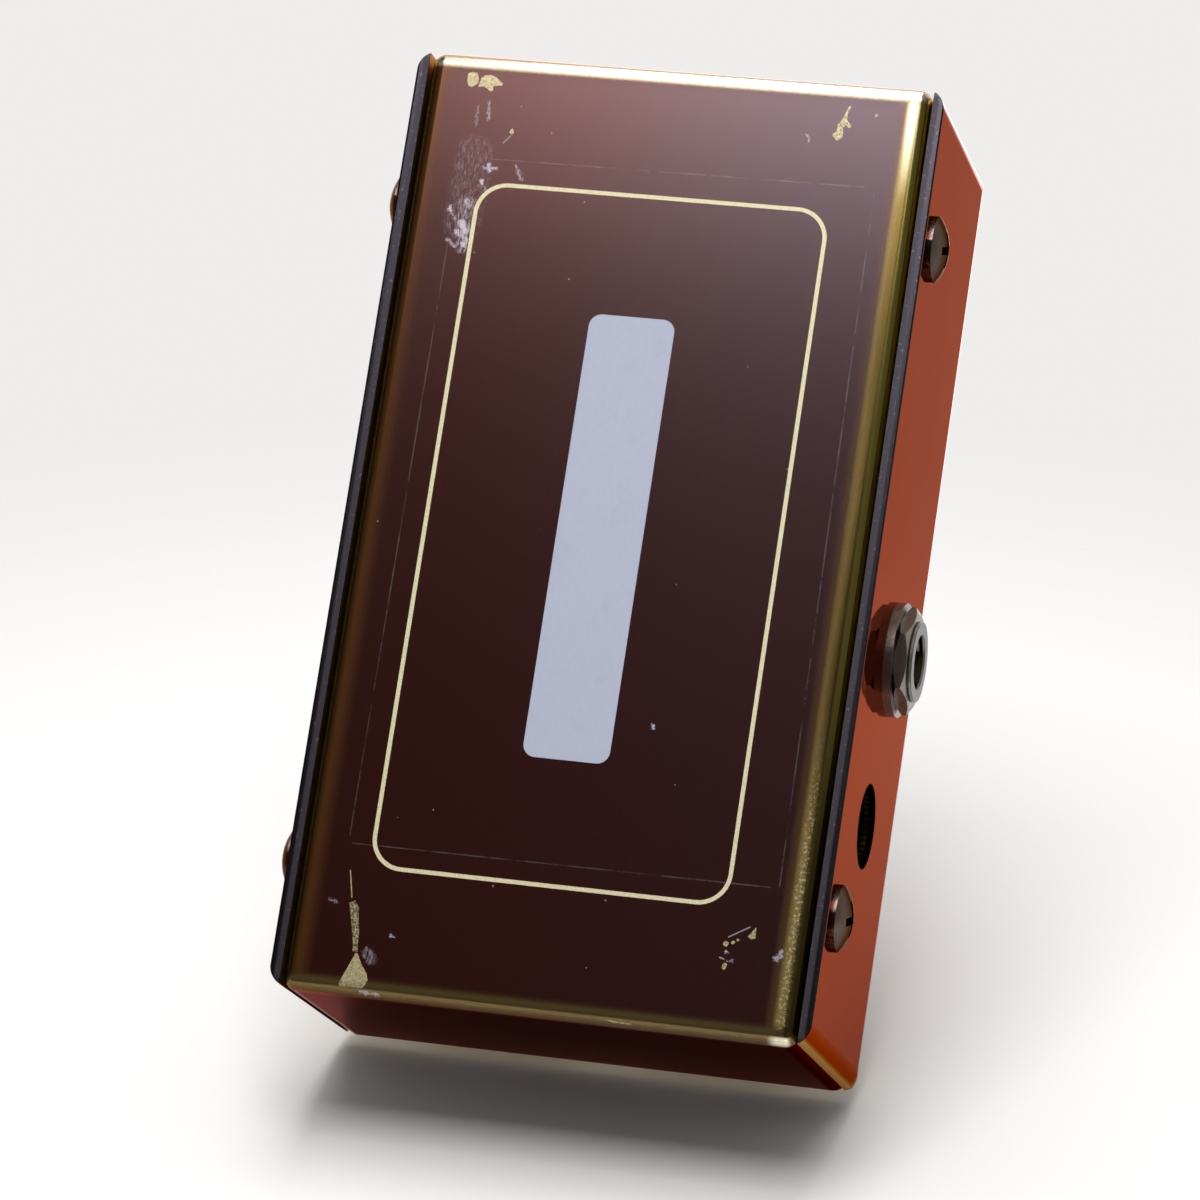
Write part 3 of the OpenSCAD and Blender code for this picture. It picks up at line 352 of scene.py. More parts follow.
def tray_lacquer():
    """Smoked lacquer that fades to gold along the bends, with painted highlights, reflections and
    shade on them, a painted reflection tint that differs from side to side, and scuffs and tape
    marks.
    """
    g = Graph("tray_lacquer")
    across, along = g.math("ABSOLUTE", g.x), g.math("ABSOLUTE", g.y)
    fine = g.noise(0.42, detail=5, roughness=0.7)
    satin = g.noise(0.26, stretch=(1, 12, 1), detail=3)
    grit = g.scaled(g.math("SUBTRACT", fine, 0.5), 0.4)
    right, rear = g.step(g.x, -1, 1), g.step(g.y, -1, 1)
    wall = g.product(g.step(along, HALF_L - 1.2, HALF_L - 0.2),
                     g.step(g.z, PLATE_BEND - 0.4, PLATE_BEND + 0.5))

    rough_across = g.math("ADD", across, grit)
    left_colour, left_metal = g.ramp(rough_across, LEFT_WEAR_AND_SHEEN)
    right_colour, right_metal = g.ramp(rough_across, RIGHT_WEAR_AND_SHEEN)
    # The right bend's crest is rubbed through in flecks towards the rear, set pale and less
    # metallic as partly painted highlight; a painted dimmer highlight lies on it towards the front
    # and a painted bright highlight at the front end, and painted shade darkens its outer side
    # towards the rear
    crest = g.band(across, *CREST)
    flecks = g.product(crest, g.step(g.y, 12, 40), g.step(fine, 0.44, 0.66, 0.45, 1.0))
    rubbed = g.mix(g.step(fine, 0.52, 0.70), RUBBED_GOLD, PALE_BRASS)
    right_colour = g.mix(flecks, right_colour, rubbed)
    painted_dimming = g.product(crest, g.step(g.y, -4, -26), g.step(g.y, -54, -40, 0.0, 0.8))
    right_colour = g.mix(painted_dimming, right_colour, PAINTED_DIM_BEND)
    painted_highlight = g.product(crest, g.step(g.y, -42, -55, 0.0, 0.75))
    right_colour = g.mix(painted_highlight, right_colour, PALE_BRASS)
    right_metal = g.product(right_metal, g.step(flecks, 0, 1, 1.0, 0.4))
    painted_shade = g.product(g.step(g.y, 8, 38, 0.0, 0.8), g.step(across, 29.0, 29.4))
    right_colour = g.mix(painted_shade, right_colour, PAINTED_SHADE_BEND)
    colour = g.mix(right, left_colour, right_colour)
    metal = g.between(right, left_metal, right_metal)

    rough_along = g.math("ADD", along, grit)
    front_colour, front_metal = g.ramp(rough_along, FRONT_WEAR_AND_SHEEN)
    rear_colour, rear_metal = g.ramp(rough_along, REAR_WEAR_AND_SHEEN)
    end_metal = g.between(rear, front_metal, rear_metal)
    end_colour = g.mix(rear, front_colour, rear_colour)
    colour = g.mix(g.step(end_metal, 0.0, 0.5), colour, end_colour)
    metal = g.largest(metal, end_metal, wall)

    # A painted glint at the rear right corner, the end walls in a dark brown that is partly painted
    # shade, and the brass rolls at their tops
    glint = g.product(g.band(g.x, *GLINT), g.step(g.y, 55.9, 56.4))
    colour = g.mix(glint, colour, PALE_BRASS)
    colour = g.mix(wall, colour, WALL_BROWN)
    roll = g.product(g.step(g.z, TOP_Z - 3.2, TOP_Z - 1.0),
                     g.step(along, HALF_L - 4.5, HALF_L - 2.5))
    colour = g.mix(g.scaled(roll, 0.7), colour, BRASS)

    haze = g.product(plate_haze(g), g.fall(g.z, 0.5, 1.2))
    colour = g.mix(haze, colour, HAZE)
    # Painted reflection colour: the tint is redder on the left of the plate, pinker on the right,
    # and red on the end walls
    tint = g.mix(g.step(g.x, -26, 26), TINT_LEFT, TINT_RIGHT)
    tint = g.mix(wall, tint, TINT_WALL)
    rough = g.math("ADD", g.scaled(satin, 0.03), g.scaled(haze, 0.30))
    g.set(Base_Color=colour, Metallic=metal, Roughness=g.math("ADD", rough, LACQUER_ROUGH),
          Specular_Tint=tint, IOR=LACQUER_IOR)
    return g.bump(satin, 0.0012, 0.5)


# ---- Cover: bronze lacquer ----

BRONZE = (0.255, 0.092, 0.055)
BRONZE_EDGE = (0.67, 0.30, 0.25)
CUT_GREY, CUT_SPECK = (0.058, 0.051, 0.062), (0.15, 0.15, 0.19)
HOLE_DARK = (0.012, 0.007, 0.006)


def cover_lacquer():
    """Glossy bronze, rubbed on the long bends; brass inside, bare grey cut edges underneath."""
    g = Graph("cover_lacquer")
    across, along = g.math("ABSOLUTE", g.x), g.math("ABSOLUTE", g.y)
    sway = g.math("SUBTRACT", g.noise(10, detail=3), 0.5)
    bend = g.product(g.step(g.math("ADD", across, sway), HALF_W - 3.6, HALF_W - 0.9),
                     g.step(g.math("ADD", g.z, sway), TOP_Z - 3.4, TOP_Z - 1.0))
    panel_end = g.product(g.step(along, HALF_L - 5.6, HALF_L - 4.7),
                          g.step(g.z, TOP_Z - 0.8, TOP_Z - 0.2))
    rub = g.largest(bend, panel_end)
    cut = g.fall(g.z, CUT_EDGE_Z * 0.4, CUT_EDGE_Z * 0.8)
    from_hole = g.vector("SUBTRACT", g.place, POWER_HOLE)
    off_hole = g.vector("LENGTH", g.vector("MULTIPLY", from_hole, Vector((0, 1, 1))))
    hole = g.product(g.fall(off_hole, POWER_HOLE_R - 0.02, POWER_HOLE_R + 0.04),
                     g.step(g.x, 0, 1))
    mid_x, mid_z = HALF_W - COVER_T / 2, TOP_Z - COVER_T / 2
    inner = g.product(g.fall(across, mid_x - 0.2, mid_x + 0.2),
                      g.fall(g.z, mid_z - 0.2, mid_z + 0.2))
    grain = g.noise(0.5, stretch=(1, 30, 1), detail=3)
    colour = g.mix(g.noise(18, detail=3), BRONZE, shade(BRONZE, 1.18))
    colour = g.mix(g.scaled(rub, 0.85), colour, BRASS)
    colour = g.mix(inner, colour, BRASS)
    colour = g.mix(hole, colour, HOLE_DARK)
    speckle = g.step(g.noise(0.45, detail=4), 0.60, 0.72)
    colour = g.mix(cut, colour, g.mix(speckle, CUT_GREY, CUT_SPECK))
    rough = g.scaled(grain, 0.03, g.step(cut, 0.0, 1.0, 0.025, 0.21))
    rough = g.math("ADD", rough, g.scaled(inner, 0.25))
    g.set(Base_Color=colour, Metallic=1.0, Roughness=rough, Specular_Tint=BRONZE_EDGE)
    return g.bump(g.noise(0.25, detail=3), 0.004, 0.25)


# ---- Other finishes ----

NICKEL = (0.46, 0.45, 0.43)
DARKENED_NICKEL = (0.25, 0.232, 0.212)
DARK_NICKEL = (0.115, 0.085, 0.070)
DARK_EDGE = (0.36, 0.29, 0.26)
CONTACT = (0.80, 0.68, 0.42)
CONTACT_SHADE = (0.10, 0.08, 0.05)
CAN_GREY = (0.66, 0.66, 0.66)
BLACK = (0.012, 0.012, 0.013)
BLUE_PLASTIC = ((0.016, 0.05, 0.26), (0.026, 0.075, 0.34))
SOLDER_MASK, TRACK_GREEN = (0.012, 0.085, 0.035), (0.03, 0.17, 0.07)
LENS_DEEP, LENS_BRIGHT = (0.20, 0.008, 0.006), (0.52, 0.03, 0.02)
THREAD_PITCH = 0.75


def plated(name, colour, roughness, brush=(1, 1, 25), scratch=0.5, tint=None):
    """Plated or polished metal with fine brushing and small dull marks."""
    g = Graph(name)
    lines = g.noise(0.16, stretch=brush, detail=3)
    marks = g.step(g.noise(1.1, detail=4, roughness=0.7), 0.56, 0.72)
    rough = g.math("ADD", g.scaled(lines, 0.10), g.scaled(marks, 0.14))
    g.set(Base_Color=g.mix(g.scaled(marks, scratch), colour, shade(colour, 0.62)), Metallic=1.0,
          Roughness=g.math("ADD", rough, roughness))
    if tint:
        g.set(Specular_Tint=tint)
    return g.bump(lines, 0.006, 0.4)


def thread(g, along, colour):
    """Ridges of a thread along one axis, and the metal's colour on them, with painted shade that
    darkens the grooves.
    """
    ridge = g.math("SINE", g.scaled(along, 2 * math.pi / THREAD_PITCH))
    return ridge, g.mix(g.step(ridge, -1.0, 0.6), shade(colour, 0.5), colour)


def jack_thread():
    """Plated bushing with a fine thread, in the darker copy of the nickel that paints shade."""
    g = Graph("jack_thread")
    ridge, metal = thread(g, g.x, DARKENED_NICKEL)
    g.set(Base_Color=metal, Metallic=1.0, Roughness=g.scaled(g.noise(0.6, detail=3), 0.12, 0.24))
    return g.bump(ridge, THREAD_PITCH * 0.12, 0.6)


def switch_case():
    """Footswitch body: blue plastic under the panel, and a plated threaded neck above it."""
    g = Graph("switch_case")
    neck = g.step(g.z, TOP_Z - COVER_T - 0.3, TOP_Z - COVER_T)
    ridge, metal = thread(g, g.z, NICKEL)
    grain = g.noise(0.5, detail=3)
    g.set(Base_Color=g.mix(neck, g.mix(grain, *BLUE_PLASTIC), metal), Metallic=neck,
          Roughness=g.scaled(grain, 0.12, g.step(neck, 0, 1, 0.34, 0.14)))
    return g.bump(g.product(ridge, neck), THREAD_PITCH * 0.12, 0.6)


def moulded(name, colour, roughness=0.45, grain=0.22, depth=0.012):
    """Moulded or coated plastic with a fine texture and slight colour drift."""
    g = Graph(name)
    fine = g.noise(grain, detail=3)
    lighter = tuple(min(1.0, c * 1.35 + 0.004) for c in colour)
    g.set(Base_Color=g.mix(g.noise(4.0, detail=2), colour, lighter),
          Roughness=g.scaled(fine, 0.16, roughness - 0.08))
    return g.bump(fine, depth, 0.5)


def banded(name, colour, band, axis, pitch, share=0.5, roughness=0.4):
    """Plastic or lamination with repeating bands along one axis."""
    g = Graph(name)
    phase = g.math("FRACT", g.math("DIVIDE", getattr(g, axis), pitch))
    line = g.band(phase, (0.02, 0.10), (share, share + 0.08))
    g.set(Base_Color=g.mix(line, colour, band),
          Roughness=g.scaled(g.noise(0.5), 0.2, roughness - 0.1))
    return g.bump(line, 0.05, 0.4)


def circuit_laminate():
    """Green solder mask with copper runs showing through as paler tracks."""
    g = Graph("board_laminate")
    tracks = []
    for axis, pitch in ((g.x, 2.54), (g.y, 3.81)):
        phase = g.math("FRACT", g.math("DIVIDE", axis, pitch))
        line = g.band(phase, (0.32, 0.36), (0.52, 0.56))
        cell = g.step(g.noise(7.0, detail=1, shift=(pitch, 0, 0)), 0.47, 0.50)
        tracks.append(g.product(line, cell))
    track = g.largest(*tracks)
    g.set(Base_Color=g.mix(track, SOLDER_MASK, TRACK_GREEN),
          Roughness=g.scaled(g.noise(0.8), 0.12, 0.26))
    return g.bump(track, 0.035, 0.6)


def lens_plastic():
    """Tinted diffusing lens."""
    g = Graph("lens")
    depth = g.step(g.z, TOP_Z - 4.0, TOP_Z + 3.0)
    g.set(Base_Color=g.mix(depth, LENS_DEEP, LENS_BRIGHT), Transmission_Weight=0.35,
          Roughness=g.scaled(g.noise(0.4), 0.1, 0.12))
    return g.material


nickel = plated("nickel", NICKEL, 0.09)
# A darker copy of the nickel for the input jack's hardware: painted shade
darkened_nickel = plated("darkened_nickel", DARKENED_NICKEL, 0.24, scratch=0.8)
# Contacts inside the jacks, painted dark as shade
shaded_contact = plated("contact_in_painted_shade", CONTACT_SHADE, 0.34)
black_plastic = moulded("black_plastic", BLACK)
contact_metal = plated("contact_metal", CONTACT, 0.18)
can_metal = plated("can_metal", CAN_GREY, 0.24)
laminate = circuit_laminate()
pale_insulation = moulded("pale_insulation", (0.72, 0.68, 0.58), 0.42)
knob_plastic = moulded("knob_plastic", (0.014, 0.0125, 0.012), 0.34, grain=0.12, depth=0.006)
inlay_paint = moulded("inlay_paint", (0.74, 0.64, 0.34), 0.5)

finishes = {
    "base_tray": tray_lacquer(),
    "top_cover": cover_lacquer(),
    "cover_screws": plated("black_steel", DARK_NICKEL, 0.16, scratch=0.8, tint=DARK_EDGE),
    "xlr_screws": plated("countersunk_steel", DARK_NICKEL, 0.24, scratch=0.8, tint=DARK_EDGE),
    "input_jack_bushing": jack_thread(),
    "input_jack_housing": black_plastic,
    "input_jack_contacts": shaded_contact,
    "input_jack_washer": darkened_nickel,
    "input_jack_nut": darkened_nickel,
    "power_jack_housing": moulded("socket_well", BLACK, 0.55, grain=0.5, depth=0.003),
    "power_jack_pin": shaded_contact,
    "power_jack_contact": shaded_contact,
    "xlr_housing": moulded("socket_plastic", BLACK, 0.38),
    "xlr_pins": contact_metal,
    "ground_switch_body": black_plastic,
    "ground_switch_slider": moulded("grey_plastic", (0.05, 0.05, 0.052)),
    "circuit_board": laminate,
    "transformer_core": banded(
        "core_steel", (0.10, 0.10, 0.11), (0.22, 0.22, 0.24), "z", 0.5),
    "transformer_winding": banded(
        "winding_tape", (0.55, 0.34, 0.05), (0.68, 0.46, 0.10), "z", 1.6, 0.9),
    "capacitors": banded(
        "capacitor_sleeve", (0.010, 0.014, 0.05), (0.30, 0.31, 0.36), "y", 5.0, 0.2, 0.3),
    "amplifier_chips": moulded("chip_resin", (0.018, 0.018, 0.019), 0.5),
    "resistors": banded(
        "resistor_coat", (0.50, 0.36, 0.20), (0.22, 0.06, 0.03), "y", 1.7, 0.35, 0.35),
    "input_leads": moulded("red_insulation", (0.40, 0.025, 0.02), 0.4),
    "output_leads": pale_insulation,
    "level_pot": can_metal,
    "tone_pot": can_metal,
    "level_shaft": can_metal,
    "tone_shaft": can_metal,
    "level_knob": knob_plastic,
    "tone_knob": knob_plastic,
    "level_inlay": inlay_paint,
    "tone_inlay": inlay_paint,
    "pot_washers": nickel,
    "pot_nuts": nickel,
    "footswitch_body": switch_case(),
    "footswitch_plunger": plated("plunger_nickel", NICKEL, 0.07, brush=(1, 1, 8)),
    "footswitch_washer": nickel,
    "footswitch_nut": nickel,
    "footswitch_terminals": contact_metal,
    "footswitch_board": laminate,
    "ribbon_cable": banded(
        "ribbon_insulation", (0.30, 0.30, 0.31), (0.42, 0.42, 0.44), "x", 1.27, 0.8),
    "ribbon_headers": pale_insulation,
    "lamp_bezel": nickel,
    "lamp_lens": lens_plastic(),
}
for name, material in finishes.items():
    for holder in nodes[name].material_slots:
        holder.material = material


# ---- Printed lines and the blank label ----

INK_DARK, INK_LIGHT = (0.58, 0.50, 0.28), (0.85, 0.80, 0.55)
PAPER = ((0.400, 0.430, 0.545), (0.450, 0.480, 0.600))
PAPER_SOILED = (0.31, 0.32, 0.40)
INK_LIFT = 0.03
LABEL_LIFT = 0.09
LINE_W = 0.5
BORDER_R = 3.6
BORDER_MIDDLE, BORDER_SIZE = (-0.9, 0.45), (42.2, 82.8)
LABEL_MIDDLE, LABEL_SIZE, LABEL_R = (-1.05, 0.45), (10.3, 53.3), 1.5
PANEL_MARGINS = (9.0, 15.0)


def rounded_loop(centre, size, radius, steps=10):
    """Points of a rounded rectangle in a plane, counter-clockwise."""
    points = []
    for corner, (sx, sy) in enumerate(((1, 1), (-1, 1), (-1, -1), (1, -1))):
        hub = Vector((centre[0] + sx * (size[0] / 2 - radius),
                      centre[1] + sy * (size[1] / 2 - radius)))
        for i in range(steps + 1):
            angle = math.radians(90 * corner) + math.radians(90 * i / steps)
            points.append(hub + radius * Vector((math.cos(angle), math.sin(angle))))
    return points


def add_film(build, loops, z, lift):
    """Adds a thin closed film at height z, standing proud by lift; a second loop is its hole."""
    levels = [[[build.verts.new((p.x * MM, p.y * MM, h * MM)) for p in loop] for loop in loops]
              for h in (z, z + lift)]
    count = len(loops[0])
    for i in range(count):
        j = (i + 1) % count
        for loop_low, loop_high in zip(*levels):
            build.faces.new((loop_low[i], loop_low[j], loop_high[j], loop_high[i]))
        if len(loops) == 2:
            for level in levels:
                build.faces.new((level[0][i], level[0][j], level[1][j], level[1][i]))
    if len(loops) == 1:
        for level in levels:
            build.faces.new(level[0])


def film_piece(build, name, material):
    """Turns built films into a piece that rides on the case."""
    mesh = bpy.data.meshes.new(name)
    bmesh.ops.recalc_face_normals(build, faces=build.faces)
    build.to_mesh(mesh)
    build.free()
    piece = bpy.data.objects.new(name, mesh)
    bpy.context.scene.collection.objects.link(piece)
    mesh.materials.append(material)
    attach(piece, "enclosure")


def film(name, loops, z, lift, material):
    """One film as a piece."""
    build = bmesh.new()
    add_film(build, loops, z, lift)
    film_piece(build, name, material)


def gold_ink():
    """Screen-printed gold ink: grainy, a little uneven, partly metallic."""
    g = Graph("gold_ink")
    grain = g.noise(0.14, detail=4, roughness=0.7)
    g.set(Base_Color=g.mix(g.step(grain, 0.3, 0.75), INK_DARK, INK_LIGHT), Metallic=0.25,
          Roughness=g.scaled(grain, 0.25, 0.35))
    return g.bump(grain, 0.01, 0.5)


def label_paper():
    """Blank coated label, pale lavender and slightly soiled."""
    g = Graph("label_paper")
    soil = g.step(g.noise(6.0, detail=5, roughness=0.65), 0.5, 0.8)
    fibre = g.noise(0.3, stretch=(1, 3, 1), detail=3)
    g.set(Base_Color=g.mix(g.scaled(soil, 0.3), g.mix(fibre, *PAPER), PAPER_SOILED),
          Roughness=g.scaled(fibre, 0.2, 0.42))
    return g.bump(fibre, 0.006, 0.4)


ink = gold_ink()


def border(name, centre, size, z, lift):
    """Printed line along a rounded rectangle."""
    outer, inner = (
        rounded_loop(centre, [side + grow for side in size], BORDER_R + grow / 2)
        for grow in (LINE_W, -LINE_W))
    film(name, [outer, inner], z, lift, ink)


border("plate_border", BORDER_MIDDLE, BORDER_SIZE, 0.0, -INK_LIFT)
film("plate_label", [rounded_loop(LABEL_MIDDLE, LABEL_SIZE, LABEL_R)], 0.0, -LABEL_LIFT,
     label_paper())
panel_size = (2 * HALF_W - PANEL_MARGINS[0], 2 * HALF_L - PANEL_MARGINS[1])
border("panel_border", (0.0, 0.0), panel_size, TOP_Z, INK_LIFT)


# ---- Bare metal where the plate's lacquer has flaked off ----

BARE_GOLD, DULL_GOLD = (0.60, 0.53, 0.32), (0.33, 0.25, 0.10)
FLAKE_LIFT = 0.012
BEND_CUTS, BEND_CUT_STEP = 6, 0.2


def bare_metal(name, kept=None):
    """Dull gold metal; kept = (low, high) leaves lacquer where a mottle goes above these."""
    g = Graph(name)
    grain = g.noise(0.34, detail=5, roughness=0.72)
    colour = g.mix(g.step(grain, 0.38, 0.60), DULL_GOLD, BARE_GOLD)
    if kept:
        mottle = g.step(g.noise(0.26, detail=4, roughness=0.65, shift=(5, 9, 0)), *kept)
        colour = g.mix(g.scaled(mottle, 0.85), colour, MAROON)
    g.set(Base_Color=colour, Metallic=0.4, Roughness=g.scaled(grain, 0.15, 0.24))
    return g.bump(grain, 0.012, 0.7)


def flaked(name, outlines, material):
    """Bare patches, drawn as outlines on the plate; they follow the plate's end bends."""
    build = bmesh.new()
    for outline in outlines:
        add_film(build, [[Vector(point) for point in outline]], 0.0, -FLAKE_LIFT)
    build.normal_update()
    bmesh.ops.triangulate(build, faces=build.faces)
    bend_start = TRAY_HALF_L - PLATE_BEND
    for cut in range(BEND_CUTS):
        line = (0, (bend_start + BEND_CUT_STEP * cut) * MM, 0)
        parts = build.verts[:] + build.edges[:] + build.faces[:]
        bmesh.ops.bisect_plane(build, geom=parts, plane_co=line, plane_no=(0, 1, 0))
    for vertex in build.verts:
        past = max(0.0, abs(vertex.co.y) / MM - bend_start)
        vertex.co.z += (PLATE_BEND - math.sqrt(PLATE_BEND ** 2 - past ** 2)) * MM
    film_piece(build, name, material)


bare = bare_metal("bare_metal")
flaked("flakes_front_left", (
    ((-25.57, -54.37), (-25.11, -54.59), (-24.51, -54.54), (-24.28, -54.11), (-24.16, -53.42),
     (-24.42, -52.99), (-24.94, -52.68), (-25.37, -52.91), (-25.56, -53.42), (-25.59, -53.94)),
    ((-23.91, -53.94), (-23.48, -54.32), (-22.70, -54.37), (-22.10, -54.14), (-21.59, -53.77),
     (-21.16, -53.42), (-21.24, -53.20), (-22.02, -53.08), (-22.33, -52.99), (-22.24, -52.48),
     (-22.50, -52.36), (-22.96, -52.65), (-23.48, -52.91), (-24.12, -52.82), (-24.05, -53.16),
     (-23.97, -53.51)),
    ((-19.13, -48.01), (-18.92, -47.58), (-19.01, -47.24), (-19.44, -47.41), (-19.35, -47.75)),
), bare)
flaked("drip_front_right", (
    ((20.80, -54.00), (21.05, -53.95), (20.75, -53.00), (20.80, -52.25), (21.12, -51.87),
     (21.42, -51.62), (21.30, -51.30), (20.88, -51.45), (20.70, -51.75), (20.45, -51.12),
     (20.55, -50.37), (20.37, -49.87), (19.88, -49.67), (19.37, -50.12), (19.32, -50.45),
     (19.70, -50.75), (19.75, -51.62), (20.12, -52.12), (20.37, -52.75)),
), bare_metal("bare_drip", kept=(0.52, 0.60)))
flaked("wedge_rear_left", (
    ((-24.33, 42.52), (-24.20, 42.54), (-23.48, 45.73), (-23.64, 45.78)),
    ((-22.07, 52.04), (-21.81, 52.14), (-21.15, 53.35), (-20.39, 54.33), (-20.17, 55.10),
     (-20.39, 55.65), (-20.72, 56.04), (-22.25, 56.04), (-23.45, 56.08), (-23.52, 55.80),
     (-23.01, 54.44), (-22.47, 53.13)),
), bare)
flaked("strip_rear_left", (
    ((-23.78, 46.35), (-23.12, 46.02), (-22.58, 46.78), (-22.36, 48.10), (-22.07, 49.63),
     (-21.98, 51.16), (-21.85, 51.93), (-22.47, 51.88), (-22.58, 50.94), (-22.90, 49.63),
     (-23.23, 48.32), (-23.56, 47.22)),
), bare_metal("bare_strip", kept=(0.46, 0.54)))
flaked("flecks_rear_right", (
    ((20.50, 46.05), (20.75, 45.90), (21.00, 45.95), (21.20, 46.10), (21.05, 46.30),
     (20.95, 46.55), (20.65, 46.50), (20.50, 46.35)),
    ((21.40, 45.90), (21.65, 45.75), (21.85, 45.85), (21.80, 46.05), (21.55, 46.20),
     (21.40, 46.10)),
    ((22.00, 45.50), (22.25, 45.50), (22.30, 45.70), (22.10, 45.80), (21.98, 45.68)),
    ((24.02, 43.95), (24.12, 45.25), (23.62, 45.37), (23.20, 45.12), (23.62, 44.50)),
    ((20.75, 48.60), (21.05, 48.35), (21.30, 48.55), (21.25, 48.95), (21.00, 49.25),
     (20.75, 49.05)),
    ((20.25, 47.75), (20.90, 47.95), (21.00, 48.10), (20.90, 48.15), (20.30, 47.90)),
    ((8.10, 56.35), (9.50, 56.42), (11.30, 56.50), (11.00, 56.60), (9.00, 56.55)),
), bare_metal("bare_flecks", kept=(0.54, 0.62)))


# ---- Dial marks around the knobs ----

TICKS = 11
LONG_TICKS = (0, TICKS // 2, TICKS - 1)
TICK_W, TICK_L, LONG_TICK_L = 0.5, 1.5, 2.25
TICK_GAP = 1.3


def dial_marks(name, knob):
    """Ring of printed ticks around a knob, over the range that its joint turns through."""
    joint = next(j for j in frame["joints"] if j["child"] == knob)
    low, high = joint["range_deg"]
    low_corner, high_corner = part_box(knob)
    centre = (low_corner + high_corner) / 2 / MM
    radius = (high_corner.x - low_corner.x) / 2 / MM
    for i in range(TICKS):
        turn = Matrix.Rotation(math.radians(low + (high - low) * i / (TICKS - 1)), 2)
        length = LONG_TICK_L if i in LONG_TICKS else TICK_L
        out = Vector((0, radius + TICK_GAP + length / 2))
        loop = [centre.xy + turn @ (p + out)
                for p in rounded_loop((0, 0), (TICK_W, length), TICK_W * 0.45, 4)]
        film(f"{name}_{i}", [loop], TOP_Z, INK_LIFT, ink)


dial_marks("level_tick", "level_knob")
dial_marks("tone_tick", "tone_knob")


# ---- Camera at the photograph's viewing angle ----

IMAGE_PX = 1200
SENSOR_MM = 36.0
FOCAL_PX = 6020
CAMERA_PLACE = Vector((165.3, 157.9, -658.7)) * MM
CAMERA_TURN = Vector((-0.2345, 0.2276, 0.1247))

camera_data = bpy.data.cameras.new("camera")
camera_data.sensor_width = SENSOR_MM
camera_data.lens = FOCAL_PX / IMAGE_PX * SENSOR_MM
camera_data.clip_start, camera_data.clip_end = 0.05, 20.0
camera = bpy.data.objects.new("camera", camera_data)
bpy.context.scene.collection.objects.link(camera)
to_view = Quaternion(CAMERA_TURN.normalized(), CAMERA_TURN.length)
half_turn = Quaternion((1, 0, 0), math.pi)
camera.rotation_mode = "QUATERNION"
camera.rotation_quaternion = to_view.inverted() @ half_turn
camera.location = CAMERA_PLACE
bpy.context.scene.camera = camera


# ---- Stage, in metres: the photograph's leaning table, and a floor for other views ----

PALE = (0.80, 0.79, 0.775)
NEAR_MIRROR = 0.008
FLOOR_Z = -0.0003
FLOOR_HALF, FLOOR_FADE, FLOOR_GLOW = 4.0, (0.25, 1.3), 0.34
TABLE_HALF, TABLE_FADE, TABLE_GAP = 0.6, (0.10, 0.24), 0.0009
LEAN = math.radians(35)


def stage_material(name, fade, glow=0.0, through_floor=False):
    """Pale matt surface seen from its front only; fade = (start, end) hides it far from its middle.

    glow lifts it towards white for the camera. The floor is clear from below. A through_floor
    surface, which stands for the photograph's table, shows above the floor only to rays that came
    up through it. Those rays' very short reflections pass the floor too, so that the underside
    mirrors the lamps and not the floor it rests on.
    """
    material = bpy.data.materials.new(name)
    g = Nodes(material)
    path, geometry = g.add("LightPath").outputs, g.add("NewGeometry").outputs
    away = g.vector("LENGTH", g.add("TexCoord").outputs["Object"])
    hidden = g.math("MAXIMUM", g.step(away, *fade), geometry["Backfacing"])
    from_below = g.math("GREATER_THAN", path["Transparent Depth"], 0.5)
    if through_floor:
        above = g.math("GREATER_THAN", g.axes(geometry["Position"])["Z"], FLOOR_Z)
        unseen = g.math("GREATER_THAN", g.math("SUBTRACT", above, from_below), 0.5)
    else:
        near = g.math("LESS_THAN", path["Ray Length"], NEAR_MIRROR)
        unseen = g.product(path["Is Glossy Ray"], near, from_below)

    matt, light, lit = g.add("BsdfDiffuse"), g.add("Emission"), g.add("AddShader")
    clear, mix, output = g.add("BsdfTransparent"), g.add("MixShader"), g.add("OutputMaterial")
    for shader in (matt, light):
        g.put(shader.inputs["Color"], PALE)
    g.put(light.inputs["Strength"], g.scaled(path["Is Camera Ray"], glow))
    g.put(lit.inputs[0], matt.outputs[0])
    g.put(lit.inputs[1], light.outputs[0])
    g.put(mix.inputs[0], g.math("MAXIMUM", hidden, unseen))
    g.put(mix.inputs[1], lit.outputs[0])
    g.put(mix.inputs[2], clear.outputs[0])
    g.put(output.inputs["Surface"], mix.outputs[0])
    return material


def stage_plane(name, half, matrix, material):
    """Square plane whose front faces its own +Z."""
    mesh = bpy.data.meshes.new(name)
    corners = [(-half, -half, 0), (half, -half, 0), (half, half, 0), (-half, half, 0)]
    mesh.from_pydata(corners, [], [(0, 1, 2, 3)])
    mesh.materials.append(material)
    plane = bpy.data.objects.new(name, mesh)
    bpy.context.scene.collection.objects.link(plane)
    plane.matrix_world = matrix
    plane.visible_diffuse = False
    plane.visible_shadow = False
    return plane


# In the photograph the box leans back on its rear end; the table meets the far edge of that end
table_up = Vector((0, -math.cos(LEAN), -math.sin(LEAN)))
table_back = Vector((0, -math.sin(LEAN), math.cos(LEAN)))
table_place = Vector((0, HALF_L, TOP_Z)) * MM - table_up * TABLE_GAP
table_axes = Matrix((Vector((1, 0, 0)), table_back, table_up)).transposed().to_4x4()
stage_plane("table", TABLE_HALF, Matrix.Translation(table_place) @ table_axes,
            stage_material("table_pale", TABLE_FADE, through_floor=True))

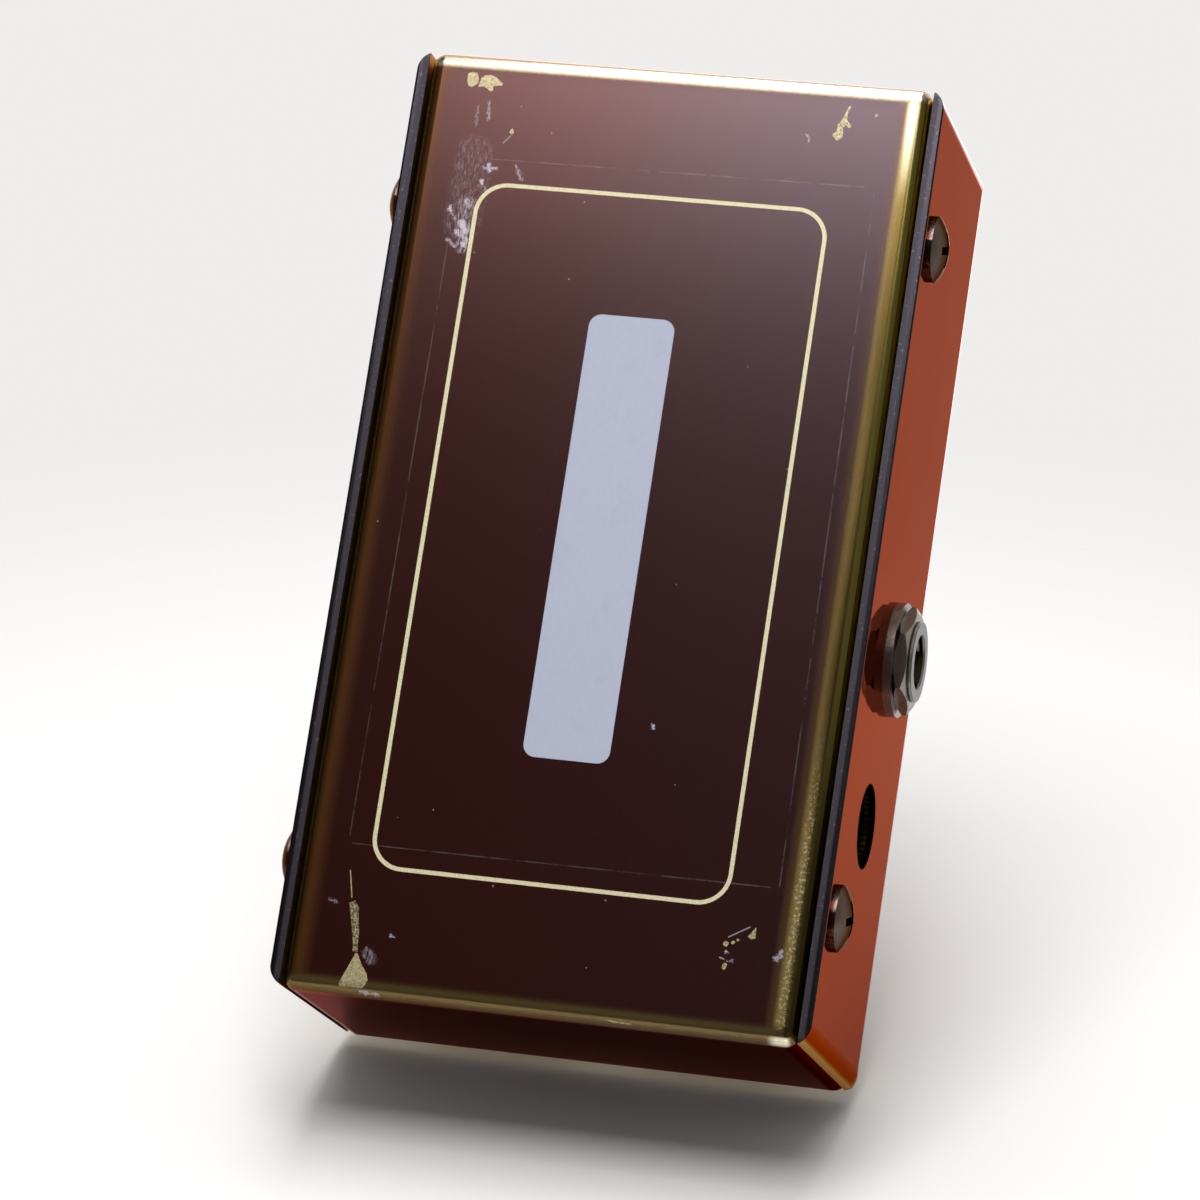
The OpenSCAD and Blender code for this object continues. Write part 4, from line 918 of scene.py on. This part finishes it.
floor = stage_plane("floor", FLOOR_HALF, Matrix.Translation((0, 0, FLOOR_Z)),
                    stage_material("floor_pale", FLOOR_FADE, FLOOR_GLOW))
floor.visible_transmission = False


# ---- Light, in metres ----

SEEN = (0.86, 0.85, 0.835)
AMBIENT = (0.34, 0.34, 0.35)
ROOM_LEFT, ROOM_RIGHT = (0.030, 0.018, 0.016), (0.19, 0.18, 0.16)


def softbox(name, direction, distance, width, height, watts):
    """Area lamp that faces the middle of the case."""
    data = bpy.data.lights.new(name, "AREA")
    data.shape = "RECTANGLE"
    data.size, data.size_y = width, height
    data.energy = watts
    lamp = bpy.data.objects.new(name, data)
    bpy.context.scene.collection.objects.link(lamp)
    away = Vector(direction).normalized()
    lamp.location = Vector((0, 0, TOP_Z / 2 * MM)) + away * distance
    lamp.rotation_mode = "QUATERNION"
    lamp.rotation_quaternion = away.to_track_quat("Z", "Y")


softbox("key", (-0.013, -0.552, -0.834), 0.78, 0.50, 0.35, 3.5)
softbox("overhead", (-0.053, -0.92, -0.33), 0.75, 0.30, 0.72, 4.2)
softbox("top", (-0.40, -0.30, 0.86), 0.80, 0.70, 0.70, 2.6)


def pale_world():
    """Even pale surroundings, with a dark room on the plate's side of the case in reflections."""
    world = bpy.data.worlds.new("surroundings")
    bpy.context.scene.world = world
    g = Nodes(world)
    path = g.add("LightPath").outputs
    direction = g.axes(g.add("TexCoord").outputs["Generated"])
    dark = g.step(direction["Z"], 0.55, -0.15)
    side = g.step(direction["X"], 0.10, 0.40, curve="LINEAR")
    mirrored = g.mix(dark, SEEN, g.mix(side, ROOM_LEFT, ROOM_RIGHT))
    colour = g.mix(path["Is Glossy Ray"], AMBIENT, mirrored)
    colour = g.mix(path["Is Transmission Ray"], colour, SEEN)
    colour = g.mix(path["Is Camera Ray"], colour, SEEN)
    background, output = g.add("Background"), g.add("OutputWorld")
    g.put(background.inputs["Color"], colour)
    g.put(output.inputs["Surface"], background.outputs[0])


pale_world()
bpy.context.scene.view_settings.view_transform = "Standard"
